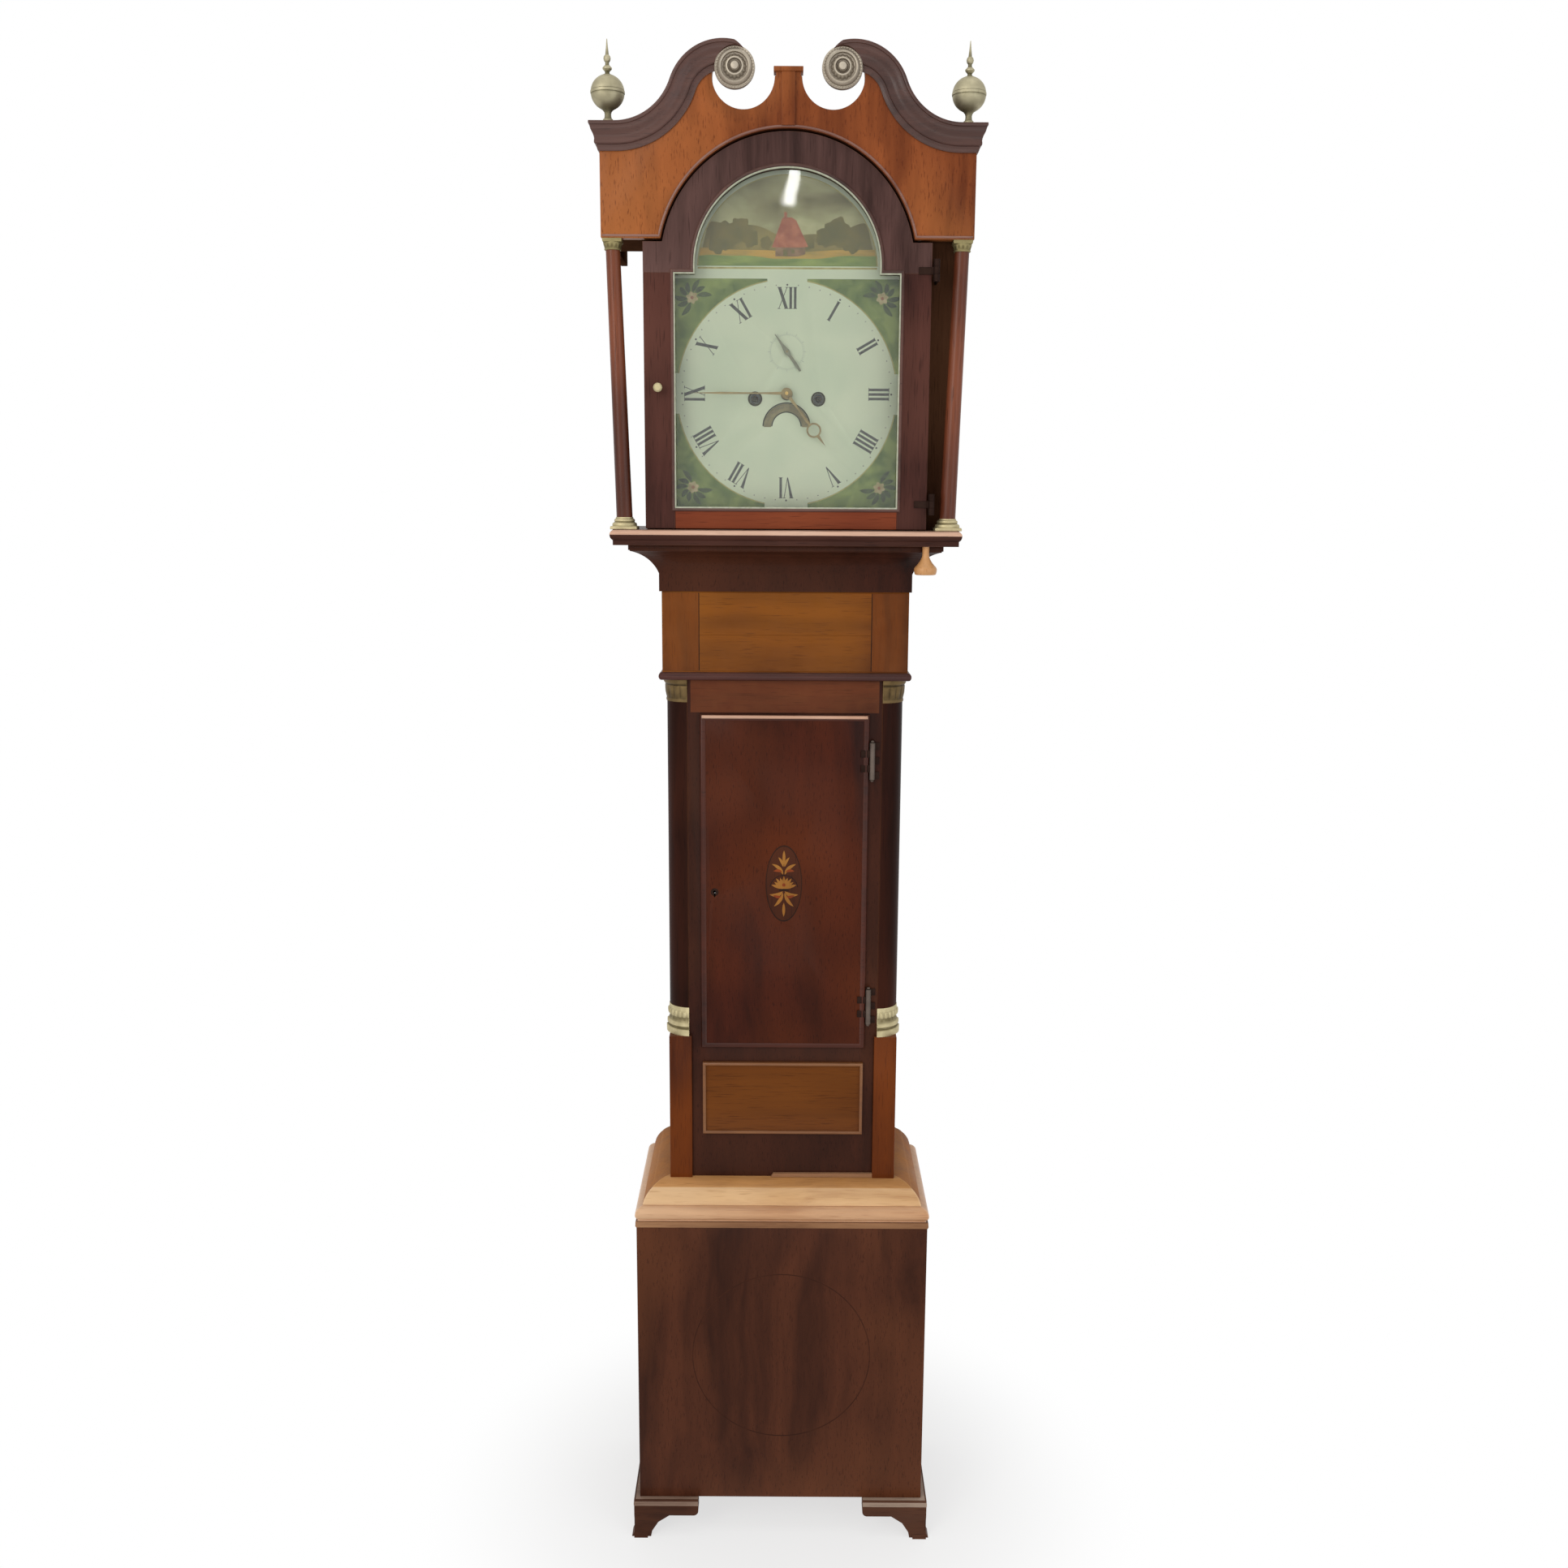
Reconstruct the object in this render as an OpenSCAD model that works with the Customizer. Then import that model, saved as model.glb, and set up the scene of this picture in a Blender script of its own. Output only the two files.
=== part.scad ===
// Longcase clock: mahogany case, lift-off hood with swan-neck pediment, eight-day two-train movement.
// Millimetres. X to the right, Y to the back, Z up. The floor is z = 0.

/* [Overall] */
// Depth of the clock from the rosettes to the back of the backboard
case_d = 282; // [260:1:320]
// Width of the base box
base_w = 456; // [420:1:500]
// Width of the trunk over its corner plinths
trunk_w = 354; // [330:1:372]
// Width of the cornice over its ends
cornice_w = 540; // [534:1:556]
// How far the cornice stands out past the frieze at each end
cornice_out = 13; // [6:0.5:18]
// Thickness of the backboard
backboard_t = 12; // [8:1:18]

/* [Heights] */
// Height of the feet
foot_h = 66; // [50:1:90]
// Top of the base box
base_top = 548; // [480:1:600]
// Height of the base moulding
base_mould_h = 56; // [42:1:72]
// Top of the trunk's corner plinths
plinth_top = 838; // [815:1:860]
// Height of the gilt base of a quarter column
column_base_h = 45; // [30:1:60]
// Top of the quarter columns
column_top = 1361; // [1345:1:1372]
// Height of the gilt capital of a quarter column
column_cap_h = 34; // [24:1:40]
// Bottom of the trunk's frieze
trunk_frieze_bottom = 1407; // [1404:1:1420]
// Top of the trunk's frieze
trunk_frieze_top = 1526; // [1510:1:1536]
// Top of the cove that carries the hood
cove_top = 1594; // [1588:1:1600]
// Thickness of the hood's base moulding
hood_base_h = 22; // [16:1:24]
// Underside of the hood's frieze
frieze_bottom = 2012; // [2010:1:2018]
// Top of the cornice at its ends
cornice_top = 2160; // [2154:1:2166]
// Height of the cornice moulding
cornice_h = 36; // [28:1:38]

/* [Base] */
// How far the base front stands in front of the trunk front
base_step = 46; // [36:1:50]
// Thickness of the base panels
base_t = 16; // [12:1:20]
// Height of the slab at the top of a foot
foot_slab_h = 28; // [18:1:34]
// Width of a foot's slab
foot_w = 104; // [80:1:130]
// Width of a foot at the floor
foot_toe_w = 31; // [24:1:44]
// Thickness of a bracket foot's boards
foot_t = 22; // [16:1:28]
// Radius of the bead under the base moulding
base_bead_r = 11; // [6:1:12]

/* [Trunk] */
// Thickness of the trunk's front frame
frame_t = 18; // [14:1:20]
// Thickness of the trunk's sides
side_t = 14; // [10:1:18]
// Size of the corner recess that holds a quarter column
corner_r = 32; // [26:1:34]
// Width of the trunk door over its lips
tdoor_w = 253; // [240:1:258]
// Bottom of the trunk door
tdoor_bottom = 820; // [812:1:840]
// Top of the trunk door
tdoor_top = 1343; // [1320:1:1350]
// Overlap of the door's moulded lip on the frame
lip = 9; // [6:1:12]
// Thickness of the door's lip
lip_t = 6; // [4:1:8]
// Thickness of the door's body behind the lip
tdoor_t = 15; // [12:1:16]
// Gap between the door's body and the frame
tdoor_gap = 2; // [1.5:0.5:3]
// Width of the lower raised panel
panel_w = 250; // [220:1:256]
// Bottom of the lower raised panel
panel_bottom = 678; // [660:1:690]
// Top of the lower raised panel
panel_top = 796; // [780:1:802]
// Projection of the cove under the hood
cove_out = 44; // [36:1:46]
// Height of the keyhole
keyhole_z = 1070; // [1050:1:1100]

// Height of the inlay's centre
inlay_z = 1084; // [1000:1:1160]
// Width of the oval inlay
inlay_w = 56; // [40:1:80]
// Height of the oval inlay
inlay_h = 120; // [80:1:160]

/* [Hood] */
// Width of the hood's base moulding
hood_base_w = 500; // [496:1:510]
// Width of the hood door
hdoor_w = 400; // [396:1:404]
// Thickness of the hood door
hdoor_t = 20; // [18:1:22]
// Top of the hood door's shoulders
hdoor_shoulder = 2008; // [2002:1:2009]
// Width of the glass opening
sight_w = 315; // [310:1:316]
// Bottom of the glass opening
sight_bottom = 1647; // [1644:1:1652]
// Shoulders of the glass opening
sight_shoulder = 1967; // [1962:1:1972]
// Radius of the glass opening's arch
sight_r = 130; // [126:1:132]
// Radius of the arch that is cut in the frieze
arch_r = 179; // [176:1:182]
// Height of the centre of the arches
arch_z = 1976; // [1974:1:1980]
// Gap between the door's arch and the frieze's arch
arch_gap = 3; // [2.5:0.5:4]
// Thickness of the glass
glass_t = 2.6; // [2:0.2:3]
// Thickness of the frieze board
frieze_t = 18; // [14:1:20]
// Thickness of the hood's sides
hood_side_t = 14; // [10:1:15]
// Radius of a pillar at its foot
pillar_r = 11.5; // [9:0.5:12]
// Radius of a pillar under its capital
pillar_top_r = 10; // [8:0.5:11]
// Distance of a pillar's foot from the centre line
pillar_x = 231; // [228:1:232]
// Distance of a pillar's top from the end of the frieze
pillar_inset = 15; // [14:1:26]

/* [Pediment] */
// Distance of the lower arc's centre from the centre line
lower_arc_x = 235; // [230:1:238]
// Radius of the lower arc of the swan neck
lower_arc_r = 80; // [74:1:84]
// Distance of the upper arc's centre from the centre line
upper_arc_x = 88; // [84:1:92]
// Radius of the upper arc of the swan neck
upper_arc_r = 76; // [72:1:78]
// Distance of a rosette from the centre line
rosette_x = 72.5; // [70:0.5:74]
// Height of the rosettes
rosette_z = 2230; // [2227:1:2232]
// Radius of a rosette
rosette_r = 27.5; // [24:0.5:28]
// Distance of the scroll cut-outs from the centre line
scroll_x = 61; // [59:1:63]
// Height of the scroll cut-outs
scroll_z = 2221; // [2218:1:2223]
// Radius of the scroll cut-outs
scroll_r = 42.5; // [40:0.5:43]
// Height of the centre plinth over the frieze's arch
crown_h = 77; // [71:1:85]
// Radius of a finial's ball
ball_r = 23; // [18:1:24]

/* [Movement] */
// Height of the dial's centre
dial_z = 1807; // [1806:1:1808]
// Width of the dial
dial_w = 330; // [324:1:332]
// Radius of the dial's arch
dial_arch_r = 138; // [134:1:142]
// Thickness of the dial sheet
dial_t = 2; // [1.5:0.5:3]
// Distance from the dial to the front plate
dial_feet = 38; // [36:1:42]
// Distance between the movement plates
plate_gap = 62; // [60:1:66]
// Thickness of a movement plate
plate_t = 3; // [2.5:0.5:4]
// Distance of a winding square from the centre line
barrel_x = 45; // [44:1:46]
// Winding squares below the dial's centre
barrel_drop = 7; // [6:1:8]
// Seconds arbor above the dial's centre
seconds_up = 58; // [56:1:60]
// Radius of a barrel
barrel_r = 24.5; // [22:0.5:25]
// Diameter of the gut line
line_d = 1.8; // [1.4:0.2:2.4]
// Radius of a weight's pulley where the line runs
pulley_r = 22.5; // [20:0.5:24]
// Radius of a weight
weight_r = 31; // [26:1:33]
// Height of a weight
weight_h = 190; // [150:1:210]
// Height of the pulleys' centres with the clock partly run down
pulley_z = 1480; // [1440:1:1500]
// Length of the pendulum from its bend to the bob's centre
pendulum_l = 994; // [960:1:1000]
// Radius of the pendulum bob
bob_r = 58; // [50:1:64]
// Thickness of the pendulum bob
bob_t = 32; // [24:1:36]
// Length of the minute hand
minute_l = 138; // [120:1:144]
// Hour that the hands show
show_hour = 4; // [0:1:11]
// Minute that the hands show
show_minute = 45; // [0:1:59]
// Second that the seconds hand shows
show_second = 54; // [0:1:59]

/* [Hidden] */
$fn = 64;
eps = 0.01;
// Running clearance of an arbor in its plate, on the radius
run = 0.1;
// Clearance between flat faces that slide
slide = 0.3;
back_y = case_d / 2;
board_y = back_y - backboard_t;
trunk_front = -66;
frame_y = trunk_front;
base_front = trunk_front - base_step;
trunk_x = trunk_w / 2;
body_x = trunk_x - 4;
corner_x = trunk_x + 1 - corner_r;
corner_y = frame_y + corner_r;
frieze_x = trunk_x + 5;
frieze_y = trunk_front - 6;
cheek_top = 1700;
hood_z = cove_top + slide;
hood_top = hood_z + hood_base_h;
hood_base_front = -136;
frieze_front = -122;
hood_frieze_x = cornice_w / 2 - cornice_out;
pillar_lean = hood_frieze_x - pillar_inset - pillar_x;
base_mould_top = base_top + base_mould_h;
hdoor_y = -118;
hdoor_back = hdoor_y + hdoor_t;
hdoor_x = hdoor_w / 2;
hdoor_bottom = hood_top + 1.5;
hood_side_x = hdoor_x;
hinge_x = hdoor_x + 6;
hinge_y = -124;
stile_x = pillar_x + 5;
stile_y = hdoor_back + 10;
soffit_y = -2;
foot_out = 9;
plinth_face = 5;
plinth_step = 4;
crown_x = 17;
crown_cap = 6;
top_drop = 3;
glass_y = hdoor_y + 6;
sight_x = sight_w / 2;
pillar_y = -108;
pillar_base_h = 17;
pillar_cap_h = 15;
tdoor_x = tdoor_w / 2;
thinge_x = tdoor_x + 5;
thinge_y = frame_y - 5;
neck_z = cornice_top + lower_arc_r;
roof_z = arch_z + arch_r - 2;
upper_arc_z = cornice_top + lower_arc_r - sqrt(pow(lower_arc_r + upper_arc_r, 2)
          - pow(lower_arc_x - upper_arc_x, 2));
crown_top = arch_z + arch_r + crown_h;
finial_x = hood_frieze_x - 11;
dial_y = -84;
plate_y = dial_y + dial_t + dial_feet;
rear_y = plate_y + plate_t + plate_gap;
plate_x = 92;
plate_up = 100;
seat_t = 16;
plate_down = dial_z - cheek_top - seat_t;
weight_y = plate_y + plate_t + plate_gap / 2;
going_x = barrel_x - barrel_r + pulley_r;
strike_x = -barrel_x - barrel_r + pulley_r;
pendulum_y = rear_y + plate_t + 42;
bend_up = seconds_up + 30;
centre = [0, 0];
going_b = [barrel_x, -barrel_drop];
strike_b = [-barrel_x, -barrel_drop];
escape_a = [0, seconds_up];
anchor_a = [0, bend_up];
barrel_dist = norm(going_b);

// Wheel and pinion counts
great_n = 96;
strike_great_n = 78;
leaf_n = 8;
centre_n = 60;
third_n = 56;
escape_leaf_n = 7;
escape_n = 30;
escape_r = 21;
cannon_n = 36;
hour_n = 72;
hour_leaf_n = 6;
pin_n = 56;
pallet_n = 50;
great_m = 2 * barrel_dist / (great_n + leaf_n);
centre_m = 1;
third_m = 0.95;
motion_m = 1.1;
motion_dist = cannon_n * motion_m;
hour_m = 2 * motion_dist / (hour_n + hour_leaf_n);
strike_great_m = 0.9;
pin_m = 0.9;
pallet_m = 0.8;
// The third arbor lies where its two centre distances meet
third_d1 = centre_m * (centre_n + leaf_n) / 2;
third_d2 = third_m * (third_n + escape_leaf_n) / 2;
third_up = (third_d1 * third_d1 - third_d2 * third_d2 + seconds_up * seconds_up) / (2 * seconds_up);
third_a = [sqrt(third_d1 * third_d1 - third_up * third_up), third_up];
motion_a = motion_dist * [cos(150), sin(150)];
pin_a = strike_b + strike_great_m * (strike_great_n + leaf_n) / 2 * [cos(100), sin(100)];
pallet_a = pin_a + pin_m * (pin_n + leaf_n) / 2 * [cos(88), sin(88)];
fly_a = pallet_a + pallet_m * (pallet_n + escape_leaf_n) / 2 * [cos(20), sin(20)];
hammer_a = [-82, 12];
date_a = [0, -46];
bell_r = 44;
bell_wall = 3;
// The bell is the part of its sphere that lies this far above the sphere's centre
bell_low = 14;
bell_z = dial_z + plate_up + 14;
// A nut of 5 mm radius carries the bell where its top meets the inner face
bell_nut_z = sqrt(bell_r * bell_r - 25) - bell_low - bell_wall;
front_in = plate_y + plate_t;

// Angle of the line from one arbor to another
function bearing(a, b) = atan2(b[1] - a[1], b[0] - a[0]);

// Puts a shape drawn in X and Z, from y0 to y1
module slab(y0, y1) {
    translate([0, y1, 0]) rotate([90, 0, 0]) linear_extrude(y1 - y0) children();
}

// A box from one corner to the other
module block(a, b) {
    translate(a) cube(b - a);
}

// A rod along Y on the dial's own centre, given by its place [x, z] from there
module rod(at, r, y0, y1) {
    translate([at[0], y1, dial_z + at[1]]) rotate([90, 0, 0]) cylinder(r = r, h = y1 - y0);
}

// Both sides of the centre line
module both() {
    children();
    mirror([1, 0, 0]) children();
}

// Both sides of the centre line, in two dimensions
module mirrored() {
    children();
    mirror([1, 0]) children();
}

// A moulding that returns along both sides: half width w, front y, back, and its height from z0 to z1
module returned(w, front, z0, z1) {
    intersection() {
        slab(front - 100, board_y) {
            translate([-w - eps, z0]) square([2 * w + 2 * eps, z1 - z0]);
            mirrored() translate([w, 0]) children();
        }
        rotate([90, 0, 90]) linear_extrude(2 * w + 200, center = true) {
            translate([front - eps, z0]) square([board_y - front + eps, z1 - z0]);
            translate([front, 0]) mirror([1, 0]) children();
        }
    }
}

// The case

module backboard() {
    color("#4a2e20") {
        block([-base_w / 2 + base_t, board_y, foot_h], [base_w / 2 - base_t, back_y, base_top]);
        block([-body_x, board_y, base_top], [body_x, back_y, roof_z - 6]);
    }
}

module base_panels() {
    w = base_w / 2;
    color("#4a2a20") {
        block([-w, base_front, foot_h], [w, base_front + base_t, base_top]);
        both() block([w - base_t, base_front + base_t, foot_h], [w, back_y, base_top]);
        block([-w + base_t, base_front + base_t, foot_h], [w - base_t, board_y, foot_h + 12]);
    }
}

module base_moulding() {
    w = trunk_x;
    out = base_w / 2 - trunk_x;
    step_z = base_top + 2 * base_bead_r;
    ovolo_r = base_mould_top - step_z;
    bead_x = out + 2 - base_bead_r;
    ovolo_x = out - 4 - ovolo_r;
    color("#a8713f") difference() {
        returned(w, base_front + out, base_top, base_mould_top) {
            translate([-eps, base_top]) square([ovolo_x + ovolo_r + 1 + eps, 2 * base_bead_r]);
            intersection() {
                translate([bead_x, base_top + base_bead_r]) circle(base_bead_r);
                translate([bead_x + 2, base_top]) square(2 * base_bead_r);
            }
            translate([-eps, base_top]) square([ovolo_x + eps, base_mould_top - base_top]);
            intersection() {
                translate([ovolo_x, step_z]) circle(ovolo_r);
                translate([ovolo_x, step_z]) square(ovolo_r);
            }
        }
        block([-body_x, frame_y, base_top - 1], [body_x, back_y, base_mould_top + 1]);
        both() block([corner_x - plinth_step, frame_y - plinth_face, base_top + 20],
                     [trunk_x, corner_y, base_mould_top + 1]);
    }
}

module foot_face() {
    toe = foot_slab_h;
    difference() {
        union() {
            translate([-foot_w, foot_h - toe]) square([foot_w, toe]);
            polygon([[-foot_toe_w - 26, foot_h - toe + eps], [0, foot_h - toe + eps], [-3, foot_h - toe - 9],
                     [-2, 12], [4, 0], [-foot_toe_w + 4, 0], [-foot_toe_w + 2, 10],
                     [-foot_toe_w - 8, 26]]);
        }
        translate([-foot_w - 1, foot_h - toe - 1]) difference() {
            square([9, 9]);
            translate([9, 9]) circle(8);
        }
    }
}

// A foot of two boards: one along the front and one along the side
module foot() {
    translate([base_w / 2 + foot_out, base_front - foot_out, 0]) {
        slab(0, foot_t) foot_face();
        translate([-foot_t, 0, 0]) rotate([90, 0, 90]) linear_extrude(foot_t) mirror([1, 0]) foot_face();
    }
}

module bracket_feet() {
    color("#4b2f28") both() {
        foot();
        translate([base_w / 2 + foot_out - foot_t, back_y, 0]) rotate([90, 0, 90]) linear_extrude(foot_t)
            intersection() {
                foot_face();
                translate([-foot_w, 0]) square([foot_w, foot_h]);
            }
    }
}

module trunk_sides() {
    color("#45241c") both() block([body_x - side_t, corner_y, base_top - 60], [body_x, board_y, cheek_top]);
}

module door_opening(grow) {
    translate([-tdoor_x + lip - grow, tdoor_bottom + lip - grow])
        square([tdoor_w - 2 * lip + 2 * grow, tdoor_top - tdoor_bottom - 2 * lip + 2 * grow]);
}

module trunk_frame() {
    lock_x = tdoor_x - lip;
    color("#45241c") difference() {
        slab(frame_y, frame_y + frame_t) difference() {
            union() {
                translate([-corner_x, base_top - 60]) square([2 * corner_x, trunk_frieze_bottom - base_top + 60]);
                translate([-body_x + side_t, trunk_frieze_bottom])
                    square([2 * (body_x - side_t), cove_top - trunk_frieze_bottom]);
            }
            door_opening(0);
        }
        block([-lock_x - 10, frame_y + 6, keyhole_z - 9], [-lock_x + 1, frame_y + 12, keyhole_z + 9]);
    }
}

module lower_panel() {
    h = panel_top - panel_bottom;
    bead = 5;
    color("#7a4a1e") {
        block([-panel_w / 2 + bead, frame_y - 4, panel_bottom + bead],
              [panel_w / 2 - bead, frame_y, panel_top - bead]);
        difference() {
            block([-panel_w / 2, frame_y - 7, panel_bottom], [panel_w / 2, frame_y, panel_top]);
            block([-panel_w / 2 + bead, frame_y - 8, panel_bottom + bead],
                  [panel_w / 2 - bead, frame_y + 1, panel_top - bead]);
        }
    }
}

module corner_plinths() {
    color("#5c2a18") both() {
        block([corner_x - plinth_step, frame_y - plinth_face, base_top + 20], [trunk_x, frame_y, plinth_top]);
        block([corner_x, frame_y, base_top + 20], [trunk_x, corner_y, plinth_top]);
    }
}

module quarter(r, z0, z1) {
    intersection() {
        translate([corner_x, corner_y, z0]) cylinder(r = r, h = z1 - z0);
        block([corner_x, corner_y - r - 1, z0], [corner_x + r + 1, corner_y, z1]);
    }
}

module quarter_columns() {
    color("#45241c") both() quarter(corner_r, plinth_top + column_base_h, column_top);
}

// A stack of quarter rounds: each row has its growth in radius and its start and end as shares of the height
module quarter_stack(z0, h, rows) {
    for (i = [0 : len(rows) - 1]) {
        z = z0 + h * rows[i][1];
        quarter(corner_r + rows[i][0], z, z0 + h * rows[i][2]);
    }
}

module column_mounts() {
    color("#b8a76a") both() {
        quarter_stack(plinth_top, column_base_h, [[5, 0, 0.22], [3, 0.22, 0.45], [0.5, 0.45, 0.62],
                                                  [2.5, 0.62, 0.85], [0.8, 0.85, 1]]);
        quarter_stack(column_top, column_cap_h, [[0.8, 0, 0.15], [2, 0.15, 0.7], [3.5, 0.7, 0.85], [5, 0.85, 1]]);
    }
}

module trunk_frieze() {
    bead = trunk_frieze_bottom - column_top - column_cap_h;
    color("#7a4518") {
        block([-frieze_x, frieze_y, trunk_frieze_bottom], [frieze_x, frame_y, trunk_frieze_top]);
        both() block([body_x, frame_y, trunk_frieze_bottom], [frieze_x, board_y, trunk_frieze_top]);
        both() block([body_x - side_t, frame_y, trunk_frieze_bottom], [body_x, corner_y, trunk_frieze_top]);
    }
    color("#5c2a18") {
        block([-frieze_x - 1, frieze_y - 1, trunk_frieze_bottom - bead], [frieze_x + 1, frame_y, trunk_frieze_bottom]);
        both() block([corner_x, frame_y, trunk_frieze_bottom - bead],
                     [frieze_x + 1, corner_y, trunk_frieze_bottom]);
        both() block([body_x, corner_y, trunk_frieze_bottom - bead],
                     [frieze_x + 1, board_y, trunk_frieze_bottom]);
    }
}

module trunk_cove() {
    h = cove_top - trunk_frieze_top;
    step = 7;
    r = h - 2 * step;
    color("#45241c") difference() {
        returned(frieze_x, frieze_y, trunk_frieze_top, cove_top) {
            translate([-eps, trunk_frieze_top]) square([step / 2 + eps, h]);
            translate([-eps, cove_top - step]) square([cove_out + eps, step]);
            difference() {
                translate([-eps, trunk_frieze_top + step]) square([cove_out - 2, h - step - eps]);
                translate([r, trunk_frieze_top + step]) circle(r);
            }
        }
        block([-body_x, frame_y, trunk_frieze_top - 1], [body_x, back_y, cove_top + 1]);
    }
}

// Hinges: knuckles share one pin, and each leaf carries its own knuckles

module knuckles(x, y, z, r, n, first, len, bore) {
    for (i = [first : 2 : n - 1]) translate([x, y, z + i * len + 0.15]) difference() {
        cylinder(r = r, h = len - 0.3);
        if (bore > 0) translate([0, 0, -1]) cylinder(r = bore, h = len + 2);
    }
}

module trunk_hinge_plates() {
    r = 4;
    color("#a89a70") for (z = [tdoor_bottom + 40, tdoor_top - 97]) {
        knuckles(thinge_x, thinge_y, z, r, 5, 0, 11.2, 0);
        translate([thinge_x, thinge_y, z]) cylinder(r = 1.5, h = 56);
        for (i = [0, 2, 4])
            block([thinge_x, frame_y - 1.5, z + i * 11.2 + 0.15], [thinge_x + 11, frame_y, z + i * 11.2 + 11.05]);
        for (i = [0, 2, 4])
            block([thinge_x, thinge_y, z + i * 11.2 + 0.15], [thinge_x + r, frame_y, z + i * 11.2 + 11.05]);
    }
}

module trunk_door_hinges() {
    r = 4;
    y = frame_y - lip_t - slide;
    color("#a89a70") for (z = [tdoor_bottom + 40, tdoor_top - 97]) {
        knuckles(thinge_x, thinge_y, z, r, 5, 1, 11.2, 1.5 + run);
        for (i = [1, 3])
            block([tdoor_x - 12, y - 1.2, z + i * 11.2 + 0.15], [thinge_x - 3, y, z + i * 11.2 + 11.05]);
    }
}

module seatboard() {
    color("#8a6a45") difference() {
        block([-body_x, plate_y - 8, cheek_top], [body_x, rear_y + 16, cheek_top + seat_t]);
        for (x = [going_x - pulley_r, strike_x - pulley_r])
            translate([x, weight_y, cheek_top - 1]) cylinder(r = line_d / 2, h = seat_t + 2);
    }
}

// The movement's fixed pieces

module dial_shape() {
    translate([-dial_w / 2, dial_z - dial_w / 2]) square([dial_w, dial_w]);
    intersection() {
        translate([0, arch_z]) circle(dial_arch_r);
        translate([-dial_arch_r, dial_z]) square([2 * dial_arch_r, 400]);
    }
}

module date_slot() {
    translate([date_a[0], dial_z + date_a[1]]) intersection() {
        difference() {
            circle(32.5);
            circle(22);
        }
        translate([-33, 0]) square([66, 34]);
    }
}

module dial_plate() {
    color("#bcc8b0") slab(dial_y, dial_y + dial_t) difference() {
        dial_shape();
        date_slot();
        for (x = [-barrel_x, barrel_x]) translate([x, dial_z - barrel_drop]) circle(7.5);
        translate([0, dial_z]) circle(8.5);
        translate([0, dial_z + seconds_up]) circle(2.5);
    }
    color("#b8a76a") {
        for (x = [-70, 70], z = [-70, 75]) rod([x, z], 3, dial_y + dial_t, plate_y);
        rod(date_a, 3, dial_y + dial_t, dial_y + dial_t + 8);
    }
}

module plate_blank() {
    translate([-plate_x, dial_z - plate_down]) square([2 * plate_x, plate_down + plate_up]);
}

module movement_frame() {
    post_x = plate_x - 9;
    post_low = -plate_down + 9;
    posts = [[-post_x, post_low], [post_x, post_low], [post_x, plate_up - 9], [-post_x + 21, plate_up - 6]];
    arbors = [[centre, 3.2], [going_b, 5], [strike_b, 5], [third_a, 2], [escape_a, 2], [pin_a, 2],
              [pallet_a, 2], [fly_a, 2], [hammer_a, 2.5]];
    color("#b8a060") {
        for (y = [plate_y, rear_y]) slab(y, y + plate_t) difference() {
            plate_blank();
            for (a = arbors) translate([a[0][0], dial_z + a[0][1]]) circle(a[1] + run);
            translate([0, dial_z + bend_up]) circle(y == plate_y ? 2 + run : 9);
        }
        for (at = posts) rod(at, 5.5, front_in, rear_y);
        rod(motion_a, 1, plate_y - 24, plate_y);
        cock();
        // The lines run up from the seatboard to the barrels
        for (x = [going_x - pulley_r, strike_x - pulley_r])
            translate([x, weight_y, cheek_top]) cylinder(r = line_d / 2, h = dial_z - barrel_drop - cheek_top);
    }
}

// The back cock carries the anchor's rear pivot and holds the pendulum's spring
module cock() {
    y0 = rear_y + plate_t;
    z = dial_z + bend_up;
    difference() {
        union() {
            both() block([10, y0, z - 14], [30, y0 + 14, z + 12]);
            block([-30, y0 + 14, z - 8], [30, y0 + 18, z + 12]);
            block([-8, y0 + 18, z + 0.3], [8, pendulum_y + 6, z + 12]);
        }
        translate([0, 0, z - dial_z]) rod(centre, 2 + run, y0 + 13, y0 + 19);
    }
    // Steel strap that carries the bell
    block([-58, rear_y + plate_t, dial_z + plate_up - 22], [-44, rear_y + plate_t + 2.5, dial_z + 166]);
    block([-58, weight_y - 7, dial_z + 163.5], [7, rear_y + plate_t + 2.5, dial_z + 166]);
    translate([0, weight_y, bell_z]) {
        translate([0, 0, bell_nut_z - 4]) cylinder(r = 2.9, h = 26);
        translate([0, 0, bell_nut_z - 4]) cylinder(r = 5, h = 4);
    }
}

module bell() {
    color("#a8955a") translate([0, weight_y, bell_z]) rotate_extrude() difference() {
        intersection() {
            translate([0, -bell_low]) circle(bell_r);
            translate([3, 0]) square([bell_r, bell_r]);
        }
        translate([0, -bell_low - bell_wall]) circle(bell_r);
    }
}

// The hood

module hood_base() {
    w = hood_base_w / 2;
    r = 8;
    inner_x = frieze_x + 4;
    color("#5a3a38") difference() {
        returned(w - r, hood_base_front + r, hood_z, hood_top) {
            translate([-eps, hood_z]) square([r - 4 + eps, hood_base_h]);
            translate([0, hood_top - r]) circle(r);
            translate([-eps, hood_top - r]) square([r / 2, r]);
        }
        block([-inner_x, frame_y - 14, hood_z - 1], [inner_x, back_y, hood_top + 1]);
    }
}

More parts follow.
